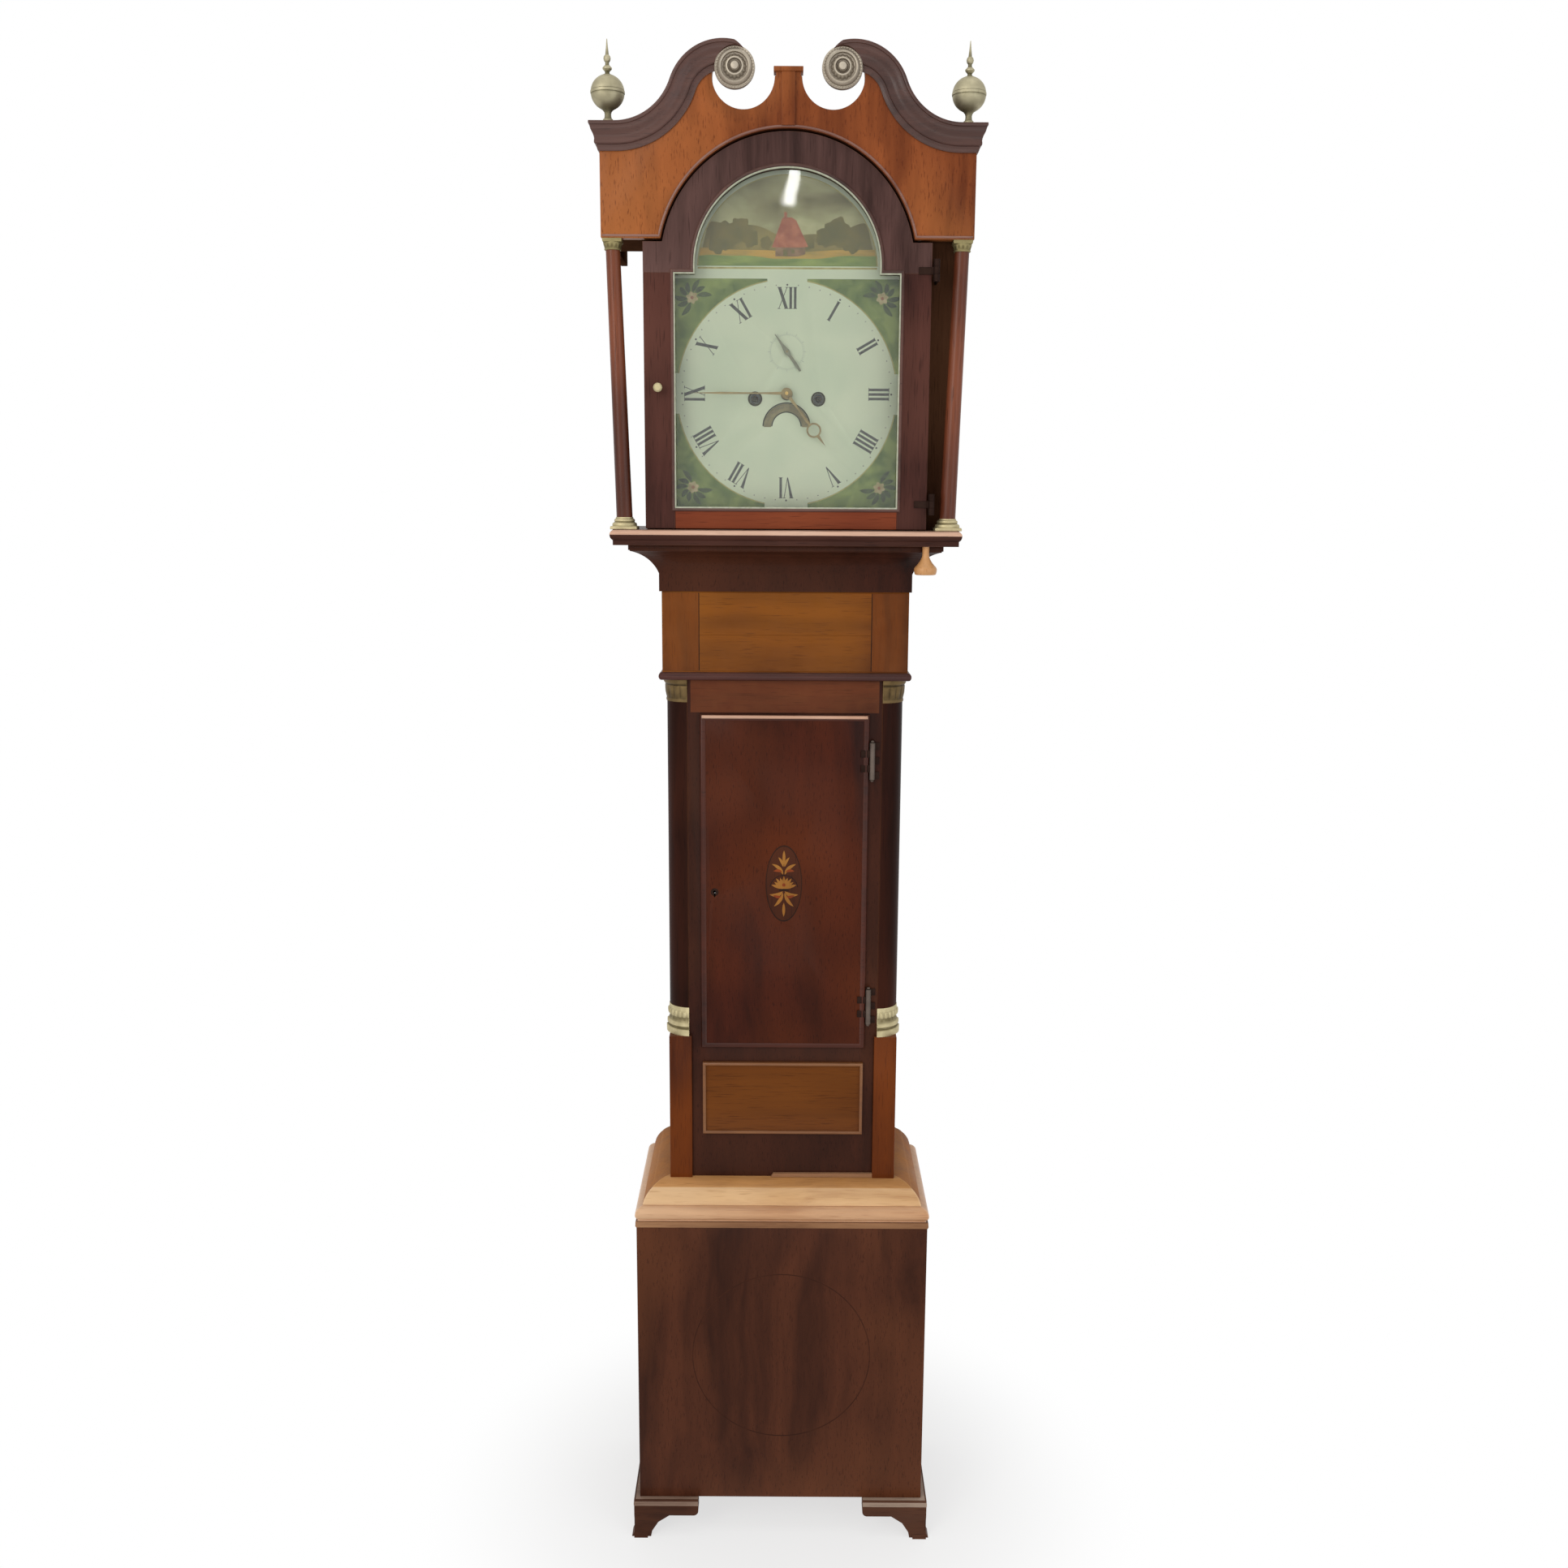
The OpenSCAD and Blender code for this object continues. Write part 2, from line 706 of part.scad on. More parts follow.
module hood_carcass() {
    front = hdoor_back + 6;
    board = 10;
    color("#54393a") {
        both() block([hood_side_x - hood_side_t, front, hood_top], [hood_side_x, back_y, roof_z]);
        block([-hood_frieze_x + board, frieze_front + frieze_t, roof_z],
              [hood_frieze_x - board, back_y, cornice_top]);
        both() block([hood_frieze_x - board, frieze_front + frieze_t, frieze_bottom],
                     [hood_frieze_x, back_y, cornice_top]);
        both() block([hood_side_x, frieze_front + frieze_t, frieze_bottom],
                     [hood_frieze_x - board, soffit_y, frieze_bottom + 8]);
        block([hood_side_x, stile_y, hood_top], [stile_x, stile_y + 12, frieze_bottom]);
    }
}

// Half of the pediment under its swan-neck edge, lowered by drop
module swan_half(drop) {
    u = [upper_arc_x, upper_arc_z];
    l = [lower_arc_x, neck_z];
    difference() {
        polygon([[0, frieze_bottom], [400, frieze_bottom], [400, cornice_top - drop],
                 [lower_arc_x, cornice_top - drop], l, u, [0, upper_arc_z]]);
        translate(l) circle(lower_arc_r + drop);
    }
    translate(u) circle(upper_arc_r - drop);
}

module frieze_outline() {
    intersection() {
        union() {
            swan_half(top_drop);
            mirror([1, 0]) swan_half(top_drop);
            translate([-scroll_x, frieze_bottom]) square([2 * scroll_x, crown_top - crown_cap - frieze_bottom]);
        }
        translate([-hood_frieze_x, frieze_bottom]) square([2 * hood_frieze_x, 400]);
    }
}

module hood_frieze() {
    color("#a65a35") {
        slab(frieze_front, frieze_front + frieze_t) difference() {
            frieze_outline();
            translate([0, arch_z]) circle(arch_r);
            mirrored() {
                translate([scroll_x, scroll_z]) circle(scroll_r);
                translate([crown_x, scroll_z]) square([scroll_x - crown_x, 100]);
            }
            translate([-crown_x - 1, crown_top - crown_cap]) square([2 * crown_x + 2, 100]);
        }
    }
    color("#a65a35") {
        block([-9, frieze_front - 4, arch_z + arch_r + 3], [9, frieze_front, crown_top - crown_cap]);
        block([-crown_x - 3, frieze_front - 6, crown_top - crown_cap],
              [crown_x + 3, frieze_front + frieze_t + 2, crown_top]);
    }
}

// One layer of the swan-neck moulding, from drop d0 to drop d1 below its top edge
module neck_band(d0, d1) {
    difference() {
        swan_half(d0);
        swan_half(d1);
        translate([-400, 0]) square([400 + rosette_x, 4000]);
        translate([rosette_x, rosette_z]) circle(rosette_r);
    }
}

module swan_necks() {
    rows = [[0, 10, 16], [10, 20, 12], [20, 28, 8], [28, cornice_h, 4]];
    color("#54393a") both() {
        for (row = rows) {
            side = (row[2] - 3) * cornice_out / (rows[0][2] - 3);
            slab(frieze_front - row[2], frieze_front) intersection() {
                neck_band(row[0], row[1]);
                square([hood_frieze_x + side, 4000]);
            }
            block([hood_frieze_x, frieze_front, cornice_top - row[1]],
                  [hood_frieze_x + side, back_y, cornice_top - row[0]]);
        }
        slab(frieze_front, frieze_front + frieze_t) intersection() {
            neck_band(0, top_drop);
            square([hood_frieze_x, 4000]);
        }
    }
}

module rosettes() {
    rings = [[rosette_r, 9], [rosette_r - 4, 13], [rosette_r - 8, 11], [rosette_r - 12, 15], [9, 12], [6, 18]];
    color("#a89a80") both() for (ring = rings)
        translate([rosette_x, frieze_front, rosette_z]) rotate([90, 0, 0]) cylinder(r = ring[0], h = ring[1]);
}

module finials() {
    z = cornice_top;
    ball = z + 42;
    color("#a89a70") both() translate([finial_x, frieze_front + 14, 0]) {
        translate([0, 0, z]) cylinder(r = 10, h = 4);
        translate([0, 0, z + 4]) cylinder(r = 7, h = 4);
        translate([0, 0, z + 8]) cylinder(r = 5, h = 14);
        translate([0, 0, ball]) sphere(r = ball_r);
        translate([0, 0, ball + ball_r - 2]) cylinder(r = 3, h = 28);
        translate([0, 0, ball + ball_r + 4]) cylinder(r1 = 3, r2 = 6.5, h = 4);
        translate([0, 0, ball + ball_r + 8]) cylinder(r = 5, h = 3);
        translate([0, 0, ball + ball_r + 20]) sphere(r = 5);
        translate([0, 0, ball + ball_r + 24]) cylinder(r1 = 2.5, r2 = 0.4, h = 21);
    }
}

module hood_pillars() {
    z0 = hood_top + pillar_base_h;
    h = frieze_bottom - pillar_cap_h - z0;
    color("#5a3028") both() intersection() {
        translate([pillar_x, pillar_y, z0]) rotate([0, atan(pillar_lean / h), 0])
            translate([0, 0, -2]) cylinder(r1 = pillar_r, r2 = pillar_top_r, h = h + 4);
        block([pillar_x - 40, pillar_y - 40, z0], [pillar_x + 60, pillar_y + 40, z0 + h]);
    }
}

module pillar_mounts() {
    color("#b8a76a") both() {
        translate([pillar_x, pillar_y, hood_top]) {
            translate([-19, -19, 0]) cube([38, 38, 5]);
            translate([0, 0, 5]) cylinder(r = 17, h = 5);
            translate([0, 0, 10]) cylinder(r = 14, h = pillar_base_h - 10);
        }
        translate([pillar_x + pillar_lean, pillar_y, frieze_bottom - pillar_cap_h]) {
            cylinder(r = 11.5, h = 5);
            translate([0, 0, 5]) cylinder(r1 = 11.5, r2 = 13.5, h = 5);
            translate([-13.5, -13.5, 10]) cube([27, 27, pillar_cap_h - 10]);
        }
    }
}

// The glass opening, grown on all sides
module sight(grow) {
    translate([-sight_x - grow, sight_bottom - grow])
        square([sight_w + 2 * grow, sight_shoulder - sight_bottom + 2 * grow]);
    translate([0, arch_z]) circle(sight_r + grow);
}

module dial_mask() {
    y = hdoor_back + 1;
    color("#3a2420") slab(y, y + 5) difference() {
        union() {
            translate([-hood_side_x, hood_top]) square([2 * hood_side_x, sight_shoulder + 30 - hood_top]);
            translate([0, arch_z]) circle(sight_r + 17);
        }
        sight(3);
    }
}

module hood_pull() {
    // Turned wooden pull, screwed under the front of the hood's base
    color("#d8a878") translate([200, hood_base_front + 14, hood_z]) {
        translate([0, 0, -16]) cylinder(r = 5, h = 16);
        translate([0, 0, -28]) cylinder(r1 = 14, r2 = 5, h = 12);
        translate([0, 0, -40]) cylinder(r1 = 15, r2 = 16.5, h = 8);
        translate([0, 0, -32]) cylinder(r1 = 16.5, r2 = 14, h = 4);
    }
}

hood_hinge_z = [hood_top + 22, hdoor_shoulder - 52];

module hood_hinge_plates() {
    r = 4.5;
    color("#a89a70") for (z = hood_hinge_z) {
        knuckles(hinge_x, hinge_y, z, r, 3, 0, 10, 0);
        translate([hinge_x, hinge_y, z]) cylinder(r = 1.5, h = 30);
        for (i = [0, 2])
            block([hinge_x + 1, hinge_y, z + i * 10 + 0.15], [hinge_x + 3, stile_y, z + i * 10 + 9.85]);
    }
}

module hood_door_hinges() {
    r = 4.5;
    color("#a89a70") for (z = hood_hinge_z) {
        knuckles(hinge_x, hinge_y, z, r, 3, 1, 10, 1.5 + run);
        block([hdoor_x - 18, hdoor_y - 2, z + 10.15], [hdoor_x + 2, hdoor_y, z + 19.85]);
        block([hdoor_x, hdoor_y - 5, z + 10.15], [hdoor_x + 3, hdoor_y, z + 19.85]);
    }
}

module hood_door_frame() {
    color("#54393a") slab(hdoor_y, hdoor_back) difference() {
        union() {
            translate([-hdoor_x, hdoor_bottom]) square([hdoor_w, hdoor_shoulder - hdoor_bottom]);
            intersection() {
                translate([0, arch_z]) circle(arch_r - arch_gap);
                translate([-arch_r, arch_z]) square([2 * arch_r, arch_r]);
            }
        }
        sight(0);
    }
}

module hood_glass() {
    color([0.7, 0.8, 0.8, 0.3]) slab(glass_y, glass_y + glass_t) sight(-eps);
}

module hood_door_knob() {
    color("#b8a088") translate([-hdoor_x + 20, hdoor_y, dial_z + 5]) rotate([90, 0, 0]) {
        cylinder(r = 3, h = 8);
        translate([0, 0, 8]) cylinder(r1 = 4, r2 = 6.5, h = 4);
        translate([0, 0, 12]) cylinder(r1 = 6.5, r2 = 4, h = 4);
    }
}

// The trunk door

lock_x0 = -tdoor_x + lip + tdoor_gap;

module trunk_door() {
    y = frame_y - slide;
    r = 4;
    color("#4a261c") difference() {
        union() {
            slab(y, y + tdoor_t) door_opening(-tdoor_gap);
            slab(y - lip_t + r, y) translate([-tdoor_x, tdoor_bottom]) square([tdoor_w, tdoor_top - tdoor_bottom]);
            slab(y - lip_t, y - lip_t + r) translate([-tdoor_x + r, tdoor_bottom + r])
                square([tdoor_w - 2 * r, tdoor_top - tdoor_bottom - 2 * r]);
        }
        slab(y - lip_t - 1, y - lip_t + 1) translate([0, inlay_z]) inlay_oval(0);
        slab(y - lip_t - 1, y + tdoor_t + 1) keyhole(0);
        slab(y - lip_t - 1, y - lip_t + 2) translate([lock_x0 + 10, keyhole_z]) circle(6);
        block([lock_x0 - 1, y + 5, keyhole_z - 25], [lock_x0 + 34, y + tdoor_t + 1, keyhole_z + 25]);
    }
}

module keyhole(grow) {
    translate([lock_x0 + 10, keyhole_z]) circle(2.5 + grow);
    translate([lock_x0 + 10 - 1.2 - grow, keyhole_z - 8 - grow]) square([2.4 + 2 * grow, 8]);
}

// An upright oval
module inlay_oval(grow) {
    polygon([for (a = [0 : 7.5 : 359]) [(inlay_w / 2 + grow) * cos(a), (inlay_h / 2 + grow) * sin(a)]]);
}

module door_inlay() {
    y = frame_y - slide - lip_t;
    color("#c08040") slab(y, y + 1) translate([0, inlay_z]) inlay_oval(-0.05);
}

module trunk_lock() {
    y = frame_y - slide + 5;
    color("#a89a70") {
        difference() {
            block([lock_x0, y, keyhole_z - 24.9], [lock_x0 + 33.9, y + tdoor_t - 5, keyhole_z + 24.9]);
            block([lock_x0 - 1, y + 2 - run, keyhole_z - 7 - run],
                  [lock_x0 + 30, y + 6 + run, keyhole_z + 7 + run]);
            slab(y - 1, y + 3) keyhole(0);
        }
        slab(frame_y - slide - lip_t, frame_y - slide - lip_t + 2) difference() {
            translate([lock_x0 + 10, keyhole_z]) circle(5.9);
            keyhole(0);
        }
    }
}

module lock_bolt() {
    y = frame_y - slide + 7;
    color("#8a8a88") difference() {
        block([lock_x0, y, keyhole_z - 7], [lock_x0 + 20, y + 4, keyhole_z + 7]);
        slab(y - 1, y + 5) translate([lock_x0 + 10, keyhole_z]) circle(3.5);
    }
}

// Wheels: trapezoid teeth on a rim, cut between spokes

module teeth(n, m, add, ded, tip, root) {
    r = n * m / 2;
    pitch = 360 / n;
    polygon([for (i = [0 : n - 1], k = [0 : 3])
        let (a = i * pitch + [-root, -tip, tip, root][k] * pitch, q = r + [-ded, add, add, -ded][k] * m)
        q * [cos(a), sin(a)]]);
}

module wheel_face(n, m, turn, hub) {
    r = n * m / 2 - 1.5 * m;
    rotate(turn) difference() {
        teeth(n, m, 0.95, 1.4, 0.1, 0.24);
        if (r > 12) difference() {
            circle(r - 3.5);
            circle(hub);
            for (a = [0 : 90 : 359]) rotate(a + 20) translate([0, -1.6]) square([r, 3.2]);
        }
    }
}

module pinion_face(n, m, turn) {
    rotate(turn) teeth(n, m, 0.7, 1.35, 0.09, 0.17);
}

module at_arbor(a, y0, y1) {
    slab(y0, y1) translate([a[0], dial_z + a[1]]) children();
}

module brass_wheel(a, n, m, turn, hub, y0, t) {
    color("#c0a058") at_arbor(a, y0, y0 + t) wheel_face(n, m, turn, hub);
}

module pinion(a, n, m, turn, y0, y1) {
    color("#8a8a88") at_arbor(a, y0, y1) pinion_face(n, m, turn);
}

great_y = rear_y - 9;
front_wheel_y = front_in + 3;
third_wheel_y = rear_y - 4;

module going_great_wheel() {
    ring_great(going_b, great_n, great_m, bearing(going_b, centre));
}

module strike_great_wheel() {
    ring_great(strike_b, strike_great_n, strike_great_m, bearing(strike_b, pin_a));
}

module ring_great(b, n, m, turn) {
    color("#c0a058") at_arbor(b, great_y, great_y + 3) difference() {
        wheel_face(n, m, turn, 16);
        circle(5 + run);
    }
}

module going_barrel() {
    barrel(going_b);
}

module strike_barrel() {
    barrel(strike_b);
}

module barrel(b) {
    y0 = front_in + 8;
    y1 = great_y - 3.5;
    color("#b8a060") {
        rod(b, barrel_r - line_d / 2 - slide, y0, y1);
        rod(b, barrel_r + 2, y0 - 2, y0);
        rod(b, barrel_r + 2, y1, y1 + 1.5);
        at_arbor(b, y1 + 1.5, y1 + 3) rotate(10) teeth(24, 1.3, 0.8, 1, 0.02, 0.4);
    }
    color("#8a8a88") {
        rod(b, 5, plate_y, y0 - 2);
        rod(b, 5, y1 + 3, rear_y + plate_t);
        at_arbor(b, dial_y - 2, plate_y) square([6, 6], center = true);
    }
}

module pulley(x) {
    color("#b8a060") translate([x, weight_y, pulley_z]) rotate([90, 0, 0]) difference() {
        rotate_extrude() difference() {
            translate([2.5 + run, -4]) square([pulley_r + 2 - 2.5 - run, 8]);
            translate([pulley_r + 0.6, 0]) circle(line_d / 2 + 0.8);
            translate([pulley_r + 0.6, -line_d / 2 - 0.8]) square([4, line_d + 1.6]);
        }
        for (a = [0 : 72 : 359]) rotate(a) translate([12.5, 0, -5]) cylinder(r = 3.6, h = 10);
    }
}

module going_pulley() {
    pulley(going_x);
}

module strike_pulley() {
    pulley(strike_x);
}

module weight(x) {
    arm = pulley_r + 12;
    top = pulley_z - arm - 22;
    color("#8a8a88") translate([x, weight_y, pulley_z]) {
        rotate([90, 0, 0]) cylinder(r = 2.5, h = 15, center = true);
        for (s = [-1, 1]) translate([-4, s * 6 - 1.2, -arm]) cube([8, 2.4, arm + 6]);
        translate([-4, -7.2, -arm - 3]) cube([8, 14.4, 3]);
        translate([0, 0, -arm - 22 - eps]) cylinder(r = 2.5, h = 20);
    }
    color("#b09050") translate([x, weight_y, top]) rotate([180, 0, 0]) {
        cylinder(r1 = 14, r2 = weight_r - 4, h = 6);
        translate([0, 0, 6]) cylinder(r1 = weight_r - 4, r2 = weight_r, h = 4);
        translate([0, 0, 10]) cylinder(r = weight_r, h = weight_h - 14);
        translate([0, 0, weight_h - 4]) cylinder(r1 = weight_r, r2 = weight_r - 4, h = 4);
    }
}

module going_weight() {
    weight(going_x);
}

module strike_weight() {
    weight(strike_x);
}

module strands(x) {
    color("#d8c8a0") for (s = [-pulley_r, pulley_r])
        translate([x + s, weight_y, pulley_z]) cylinder(r = line_d / 2, h = cheek_top - pulley_z);
}

module going_line() {
    strands(going_x);
}

module strike_line() {
    strands(strike_x);
}

module centre_wheel() {
    brass_wheel(centre, centre_n, centre_m, bearing(centre, third_a), 6, front_wheel_y - 1.5, 2);
    pinion(centre, leaf_n, great_m, bearing(going_b, centre) + 180 + 180 / leaf_n, great_y - 2, great_y + 6);
    color("#8a8a88") {
        rod(centre, 3.2, plate_y, front_wheel_y - 1.5);
        rod(centre, 2.4, front_wheel_y + 0.5, great_y - 2);
        rod(centre, 3.2, great_y + 6, rear_y + plate_t);
        rod(centre, 2.4, dial_y - 18, plate_y);
    }
}

module third_wheel() {
    brass_wheel(third_a, third_n, third_m, bearing(third_a, escape_a), 5, third_wheel_y, 2);
    pinion(third_a, leaf_n, centre_m, bearing(centre, third_a) + 180 + 180 / leaf_n,
           front_wheel_y - 2.5, front_wheel_y + 2.5);
    color("#8a8a88") {
        rod(third_a, 2, plate_y, front_wheel_y - 2.5);
        rod(third_a, 2, front_wheel_y + 2.5, third_wheel_y);
        rod(third_a, 2, third_wheel_y + 2, rear_y + plate_t);
    }
}

module escape_face() {
    r = escape_r;
    tooth = 360 / escape_n;
    difference() {
        polygon([for (i = [0 : escape_n - 1], k = [0 : 2])
            let (a = i * tooth + [0, 1, 4][k], q = [r, r, r - 4.5][k]) q * [cos(a), sin(a)]]);
        difference() {
            circle(r - 8);
            circle(4.5);
            for (a = [0 : 90 : 359]) rotate(a) translate([0, -1.2]) square([r - 5, 2.4]);
        }
    }
}

module seconds_hand() {
    turn = -show_second * 6;
    color("#6a5a40") at_arbor(escape_a, dial_y - 4.5, dial_y - 3.5) rotate(turn) {
        difference() {
            circle(3.2);
            circle(0.9);
        }
        polygon([[-1.2, 2], [1.2, 2], [0.5, 27], [-0.5, 27]]);
        polygon([[-1.2, -2], [1.2, -2], [2.2, -13], [0, -16], [-2.2, -13]]);
    }
}

module escape_wheel() {
    color("#c0a058") at_arbor(escape_a, front_in + 9, front_in + 11) escape_face();
    pinion(escape_a, escape_leaf_n, third_m, bearing(third_a, escape_a) + 180 + 180 / escape_leaf_n,
           third_wheel_y - 2.5, third_wheel_y + 3.5);
    color("#8a8a88") {
        rod(escape_a, 2, plate_y, front_in + 9);
        rod(escape_a, 2, front_in + 11, third_wheel_y - 2.5);
        rod(escape_a, 2, third_wheel_y + 3.5, rear_y + plate_t);
        rod(escape_a, 1.4, dial_y - 5, plate_y);
    }
    seconds_hand();
}

module anchor() {
    gap = 1.6;
    reach = escape_r + gap;
    drop = bend_up - seconds_up;
    y0 = front_in + 8;
    color("#8a8a88") {
        at_arbor(anchor_a, y0, y0 + 4) {
            circle(5);
            translate([0, -drop]) {
                intersection() {
                    difference() {
                        circle(reach + 6.5);
                        circle(reach + 1);
                    }
                    polygon([[0, 0], [40, 40 * tan(44)], [40, 60], [-40, 60], [-40, 40 * tan(44)]]);
                }
                mirrored() rotate(48) translate([reach, -1.5]) square([4, 4]);
            }
            translate([-2.5, -4]) square([5, 3]);
        }
        rod(anchor_a, 2, plate_y, rear_y + plate_t + 18);
        crutch();
    }
}

// The crutch hangs behind the back plate and its loop takes the pendulum's rod
module crutch() {
    y = rear_y + plate_t + 7;
    z = dial_z + bend_up;
    low = 150;
    difference() {
        block([-4, y, z - 8], [4, y + 3, z + 6]);
        rod(anchor_a, 1.5, y - 1, y + 4);
    }
    block([-1.5, y, z - low], [1.5, y + 3, z - 8]);
    difference() {
        block([-5.5, y, z - low - 3], [5.5, pendulum_y + 9, z - low]);
        block([-3.1, pendulum_y - 5, z - low - 4], [3.1, pendulum_y + 5, z - low + 1]);
    }
}

module pendulum() {
    z = dial_z + bend_up;
    spring = 36;
    // Each face is turned in steps that follow a large bowl, leaving the rim 2 mm thick
    rise = bob_t / 2 - 1;
    bowl_r = (bob_r * bob_r + rise * rise) / (2 * rise);
    steps = 6;
    bowl = [for (i = [1:steps]) [bob_r * i / steps, sqrt(pow(bowl_r, 2) - pow(bob_r * i / steps, 2)) - bowl_r + bob_t / 2]];
    color("#8a8a88") {
        translate([-4, pendulum_y - 0.2, z - spring]) cube([8, 0.4, spring]);
        translate([0, pendulum_y, z - pendulum_l - bob_r - 26]) cylinder(r = 2.2, h = pendulum_l + bob_r + 26 - spring - 12);
    }
    color("#b8a060") {
        translate([-5, pendulum_y - 4, z - spring - 12]) cube([10, 8, 12]);
        translate([0, pendulum_y, z - pendulum_l]) rotate([90, 0, 0]) rotate_extrude()
            polygon(concat([[0, bowl[0][1]]], bowl, [for (i = [steps - 1:-1:0]) [bowl[i][0], -bowl[i][1]]],
                           [[0, -bowl[0][1]]]));
        translate([0, pendulum_y, z - pendulum_l - bob_r - 20]) cylinder(r = 9, h = 6);
    }
}

module minute_hand() {
    turn = -show_minute * 6;
    y = dial_y - 15;
    color("#a08850") at_arbor(centre, y, y + 1.2) difference() {
        union() {
            circle(5.5);
            rotate(turn) polygon([[-2.2, 3], [-1, 40], [-1.6, minute_l * 2 / 3], [0, minute_l],
                                  [1.6, minute_l * 2 / 3], [1, 40], [2.2, 3]]);
        }
        circle(2.4 + run);
    }
    color("#c0a058") {
        difference() {
            rod(centre, 4, y + 1.2, plate_y - 6);
            rod(centre, 2.4 + run, y, plate_y);
        }
        at_arbor(centre, plate_y - 6, plate_y - 4) difference() {
            wheel_face(cannon_n, motion_m, bearing(centre, motion_a), 6);
            circle(2.4 + run);
        }
    }
}

module minute_wheel() {
    color("#c0a058") at_arbor(motion_a, plate_y - 6, plate_y - 4) difference() {
        wheel_face(cannon_n, motion_m, bearing(centre, motion_a) + 180 + 180 / cannon_n, 6);
        circle(1 + run);
    }
    color("#8a8a88") at_arbor(motion_a, plate_y - 15, plate_y - 6) difference() {
        pinion_face(hour_leaf_n, hour_m, bearing(centre, motion_a) + 180 + 180 / hour_leaf_n);
        circle(1 + run);
    }
}

module hour_hand() {
    turn = -(show_hour + show_minute / 60) * 30;
    y = dial_y - 11;
    wheel_y = plate_y - 13;
    color("#a08850") at_arbor(centre, y, y + 1.2) difference() {
        union() {
            circle(8);
            rotate(turn) {
                polygon([[-2.5, 6], [-1.2, 30], [-2.4, 52], [0, 56], [2.4, 52], [1.2, 30], [2.5, 6]]);
                translate([0, 64]) difference() {
                    circle(10.5);
                    circle(8);
                }
                polygon([[-2.4, 73.6], [0, 92], [2.4, 73.6]]);
            }
        }
        circle(4 + 2 * run);
    }
    color("#c0a058") {
        difference() {
            rod(centre, 7, y + 1.2, wheel_y);
            rod(centre, 4 + 2 * run, y, wheel_y + 3);
        }
        at_arbor(centre, wheel_y, wheel_y + 2) difference() {
            wheel_face(hour_n, hour_m, bearing(centre, motion_a), 10);
            circle(4 + 2 * run);
        }
        at_arbor(centre, wheel_y - 4, wheel_y - 1.5) difference() {
            snail();
            circle(6.9);
        }
        at_arbor(centre, wheel_y - 1.5, wheel_y) difference() {
            circle(9.5);
            circle(6.9);
        }
    }
}

// Twelve steps, one for each hour
module snail() {
    polygon([for (i = [0 : 11], k = [0 : 3])
        let (a = i * 30 + k * 10, q = 9 + i * 1.15) q * [cos(a), sin(a)]]);
}

module date_disc() {
    y = dial_y + dial_t + 1;
    color("#d8dcc8") at_arbor(date_a, y, y + 1) difference() {
        circle(36);
        circle(3 + run);
    }
    color("#c0a058") at_arbor(date_a, y + 1, y + 4) difference() {
        circle(6);
        circle(3 + run);
    }
}

// The strike train

module pin_wheel() {
    pins = 8;
    brass_wheel(pin_a, pin_n, pin_m, bearing(pin_a, pallet_a), 5, front_wheel_y - 1.5, 2);
    pinion(pin_a, leaf_n, strike_great_m, bearing(strike_b, pin_a) + 180 + 180 / leaf_n, great_y - 2, great_y + 6);
    color("#8a8a88") {
        rod(pin_a, 2, plate_y, front_wheel_y - 1.5);
        rod(pin_a, 2, front_wheel_y + 0.5, great_y - 2);
        rod(pin_a, 2, great_y + 6, rear_y + plate_t);
        for (i = [0 : pins - 1])
            rod(pin_a + 21.5 * [cos(i * 45 + 8), sin(i * 45 + 8)], 1, front_wheel_y + 0.5, front_wheel_y + 2.5);
    }
}

module pallet_wheel() {
    y = great_y - 6;
    brass_wheel(pallet_a, pallet_n, pallet_m, bearing(pallet_a, fly_a), 5, y, 2);
    pinion(pallet_a, leaf_n, pin_m, bearing(pin_a, pallet_a) + 180 + 180 / leaf_n,
           front_wheel_y - 2.5, front_wheel_y + 2.5);
    color("#8a8a88") {
        rod(pallet_a, 2, plate_y, front_wheel_y - 2.5);
        rod(pallet_a, 2, front_wheel_y + 2.5, y);
        rod(pallet_a, 2, y + 2, rear_y + plate_t);
    }
}

module strike_fly() {
    y = great_y - 6;
    pinion(fly_a, escape_leaf_n, pallet_m, bearing(pallet_a, fly_a) + 180 + 180 / escape_leaf_n, y - 2, y + 4);
    color("#8a8a88") {
        rod(fly_a, 2, plate_y, y - 2);
        rod(fly_a, 2, y + 4, rear_y + plate_t);
    }
    color("#c0a058") at_arbor(fly_a, front_in + 14, y - 8) difference() {
        square([34, 1], center = true);
        circle(2 - eps);
    }
}

module hammer() {
    y = weight_y;
    head = dial_z + plate_up + 20;
    x = hammer_a[0];
    color("#8a8a88") {
        rod(hammer_a, 2.5, plate_y, rear_y + plate_t);
        block([x - 1.5, y - 1.5, dial_z + hammer_a[1] + 2], [x + 1.5, y + 1.5, head - 6]);
        translate([x - 8, y, head]) rotate([0, 90, 0]) cylinder(r = 7, h = 46.3);
        block([x + 1, front_wheel_y + 0.8, dial_z + hammer_a[1] - 2.5],
              [x + 8.5, front_wheel_y + 2.3, dial_z + hammer_a[1]]);
    }
}

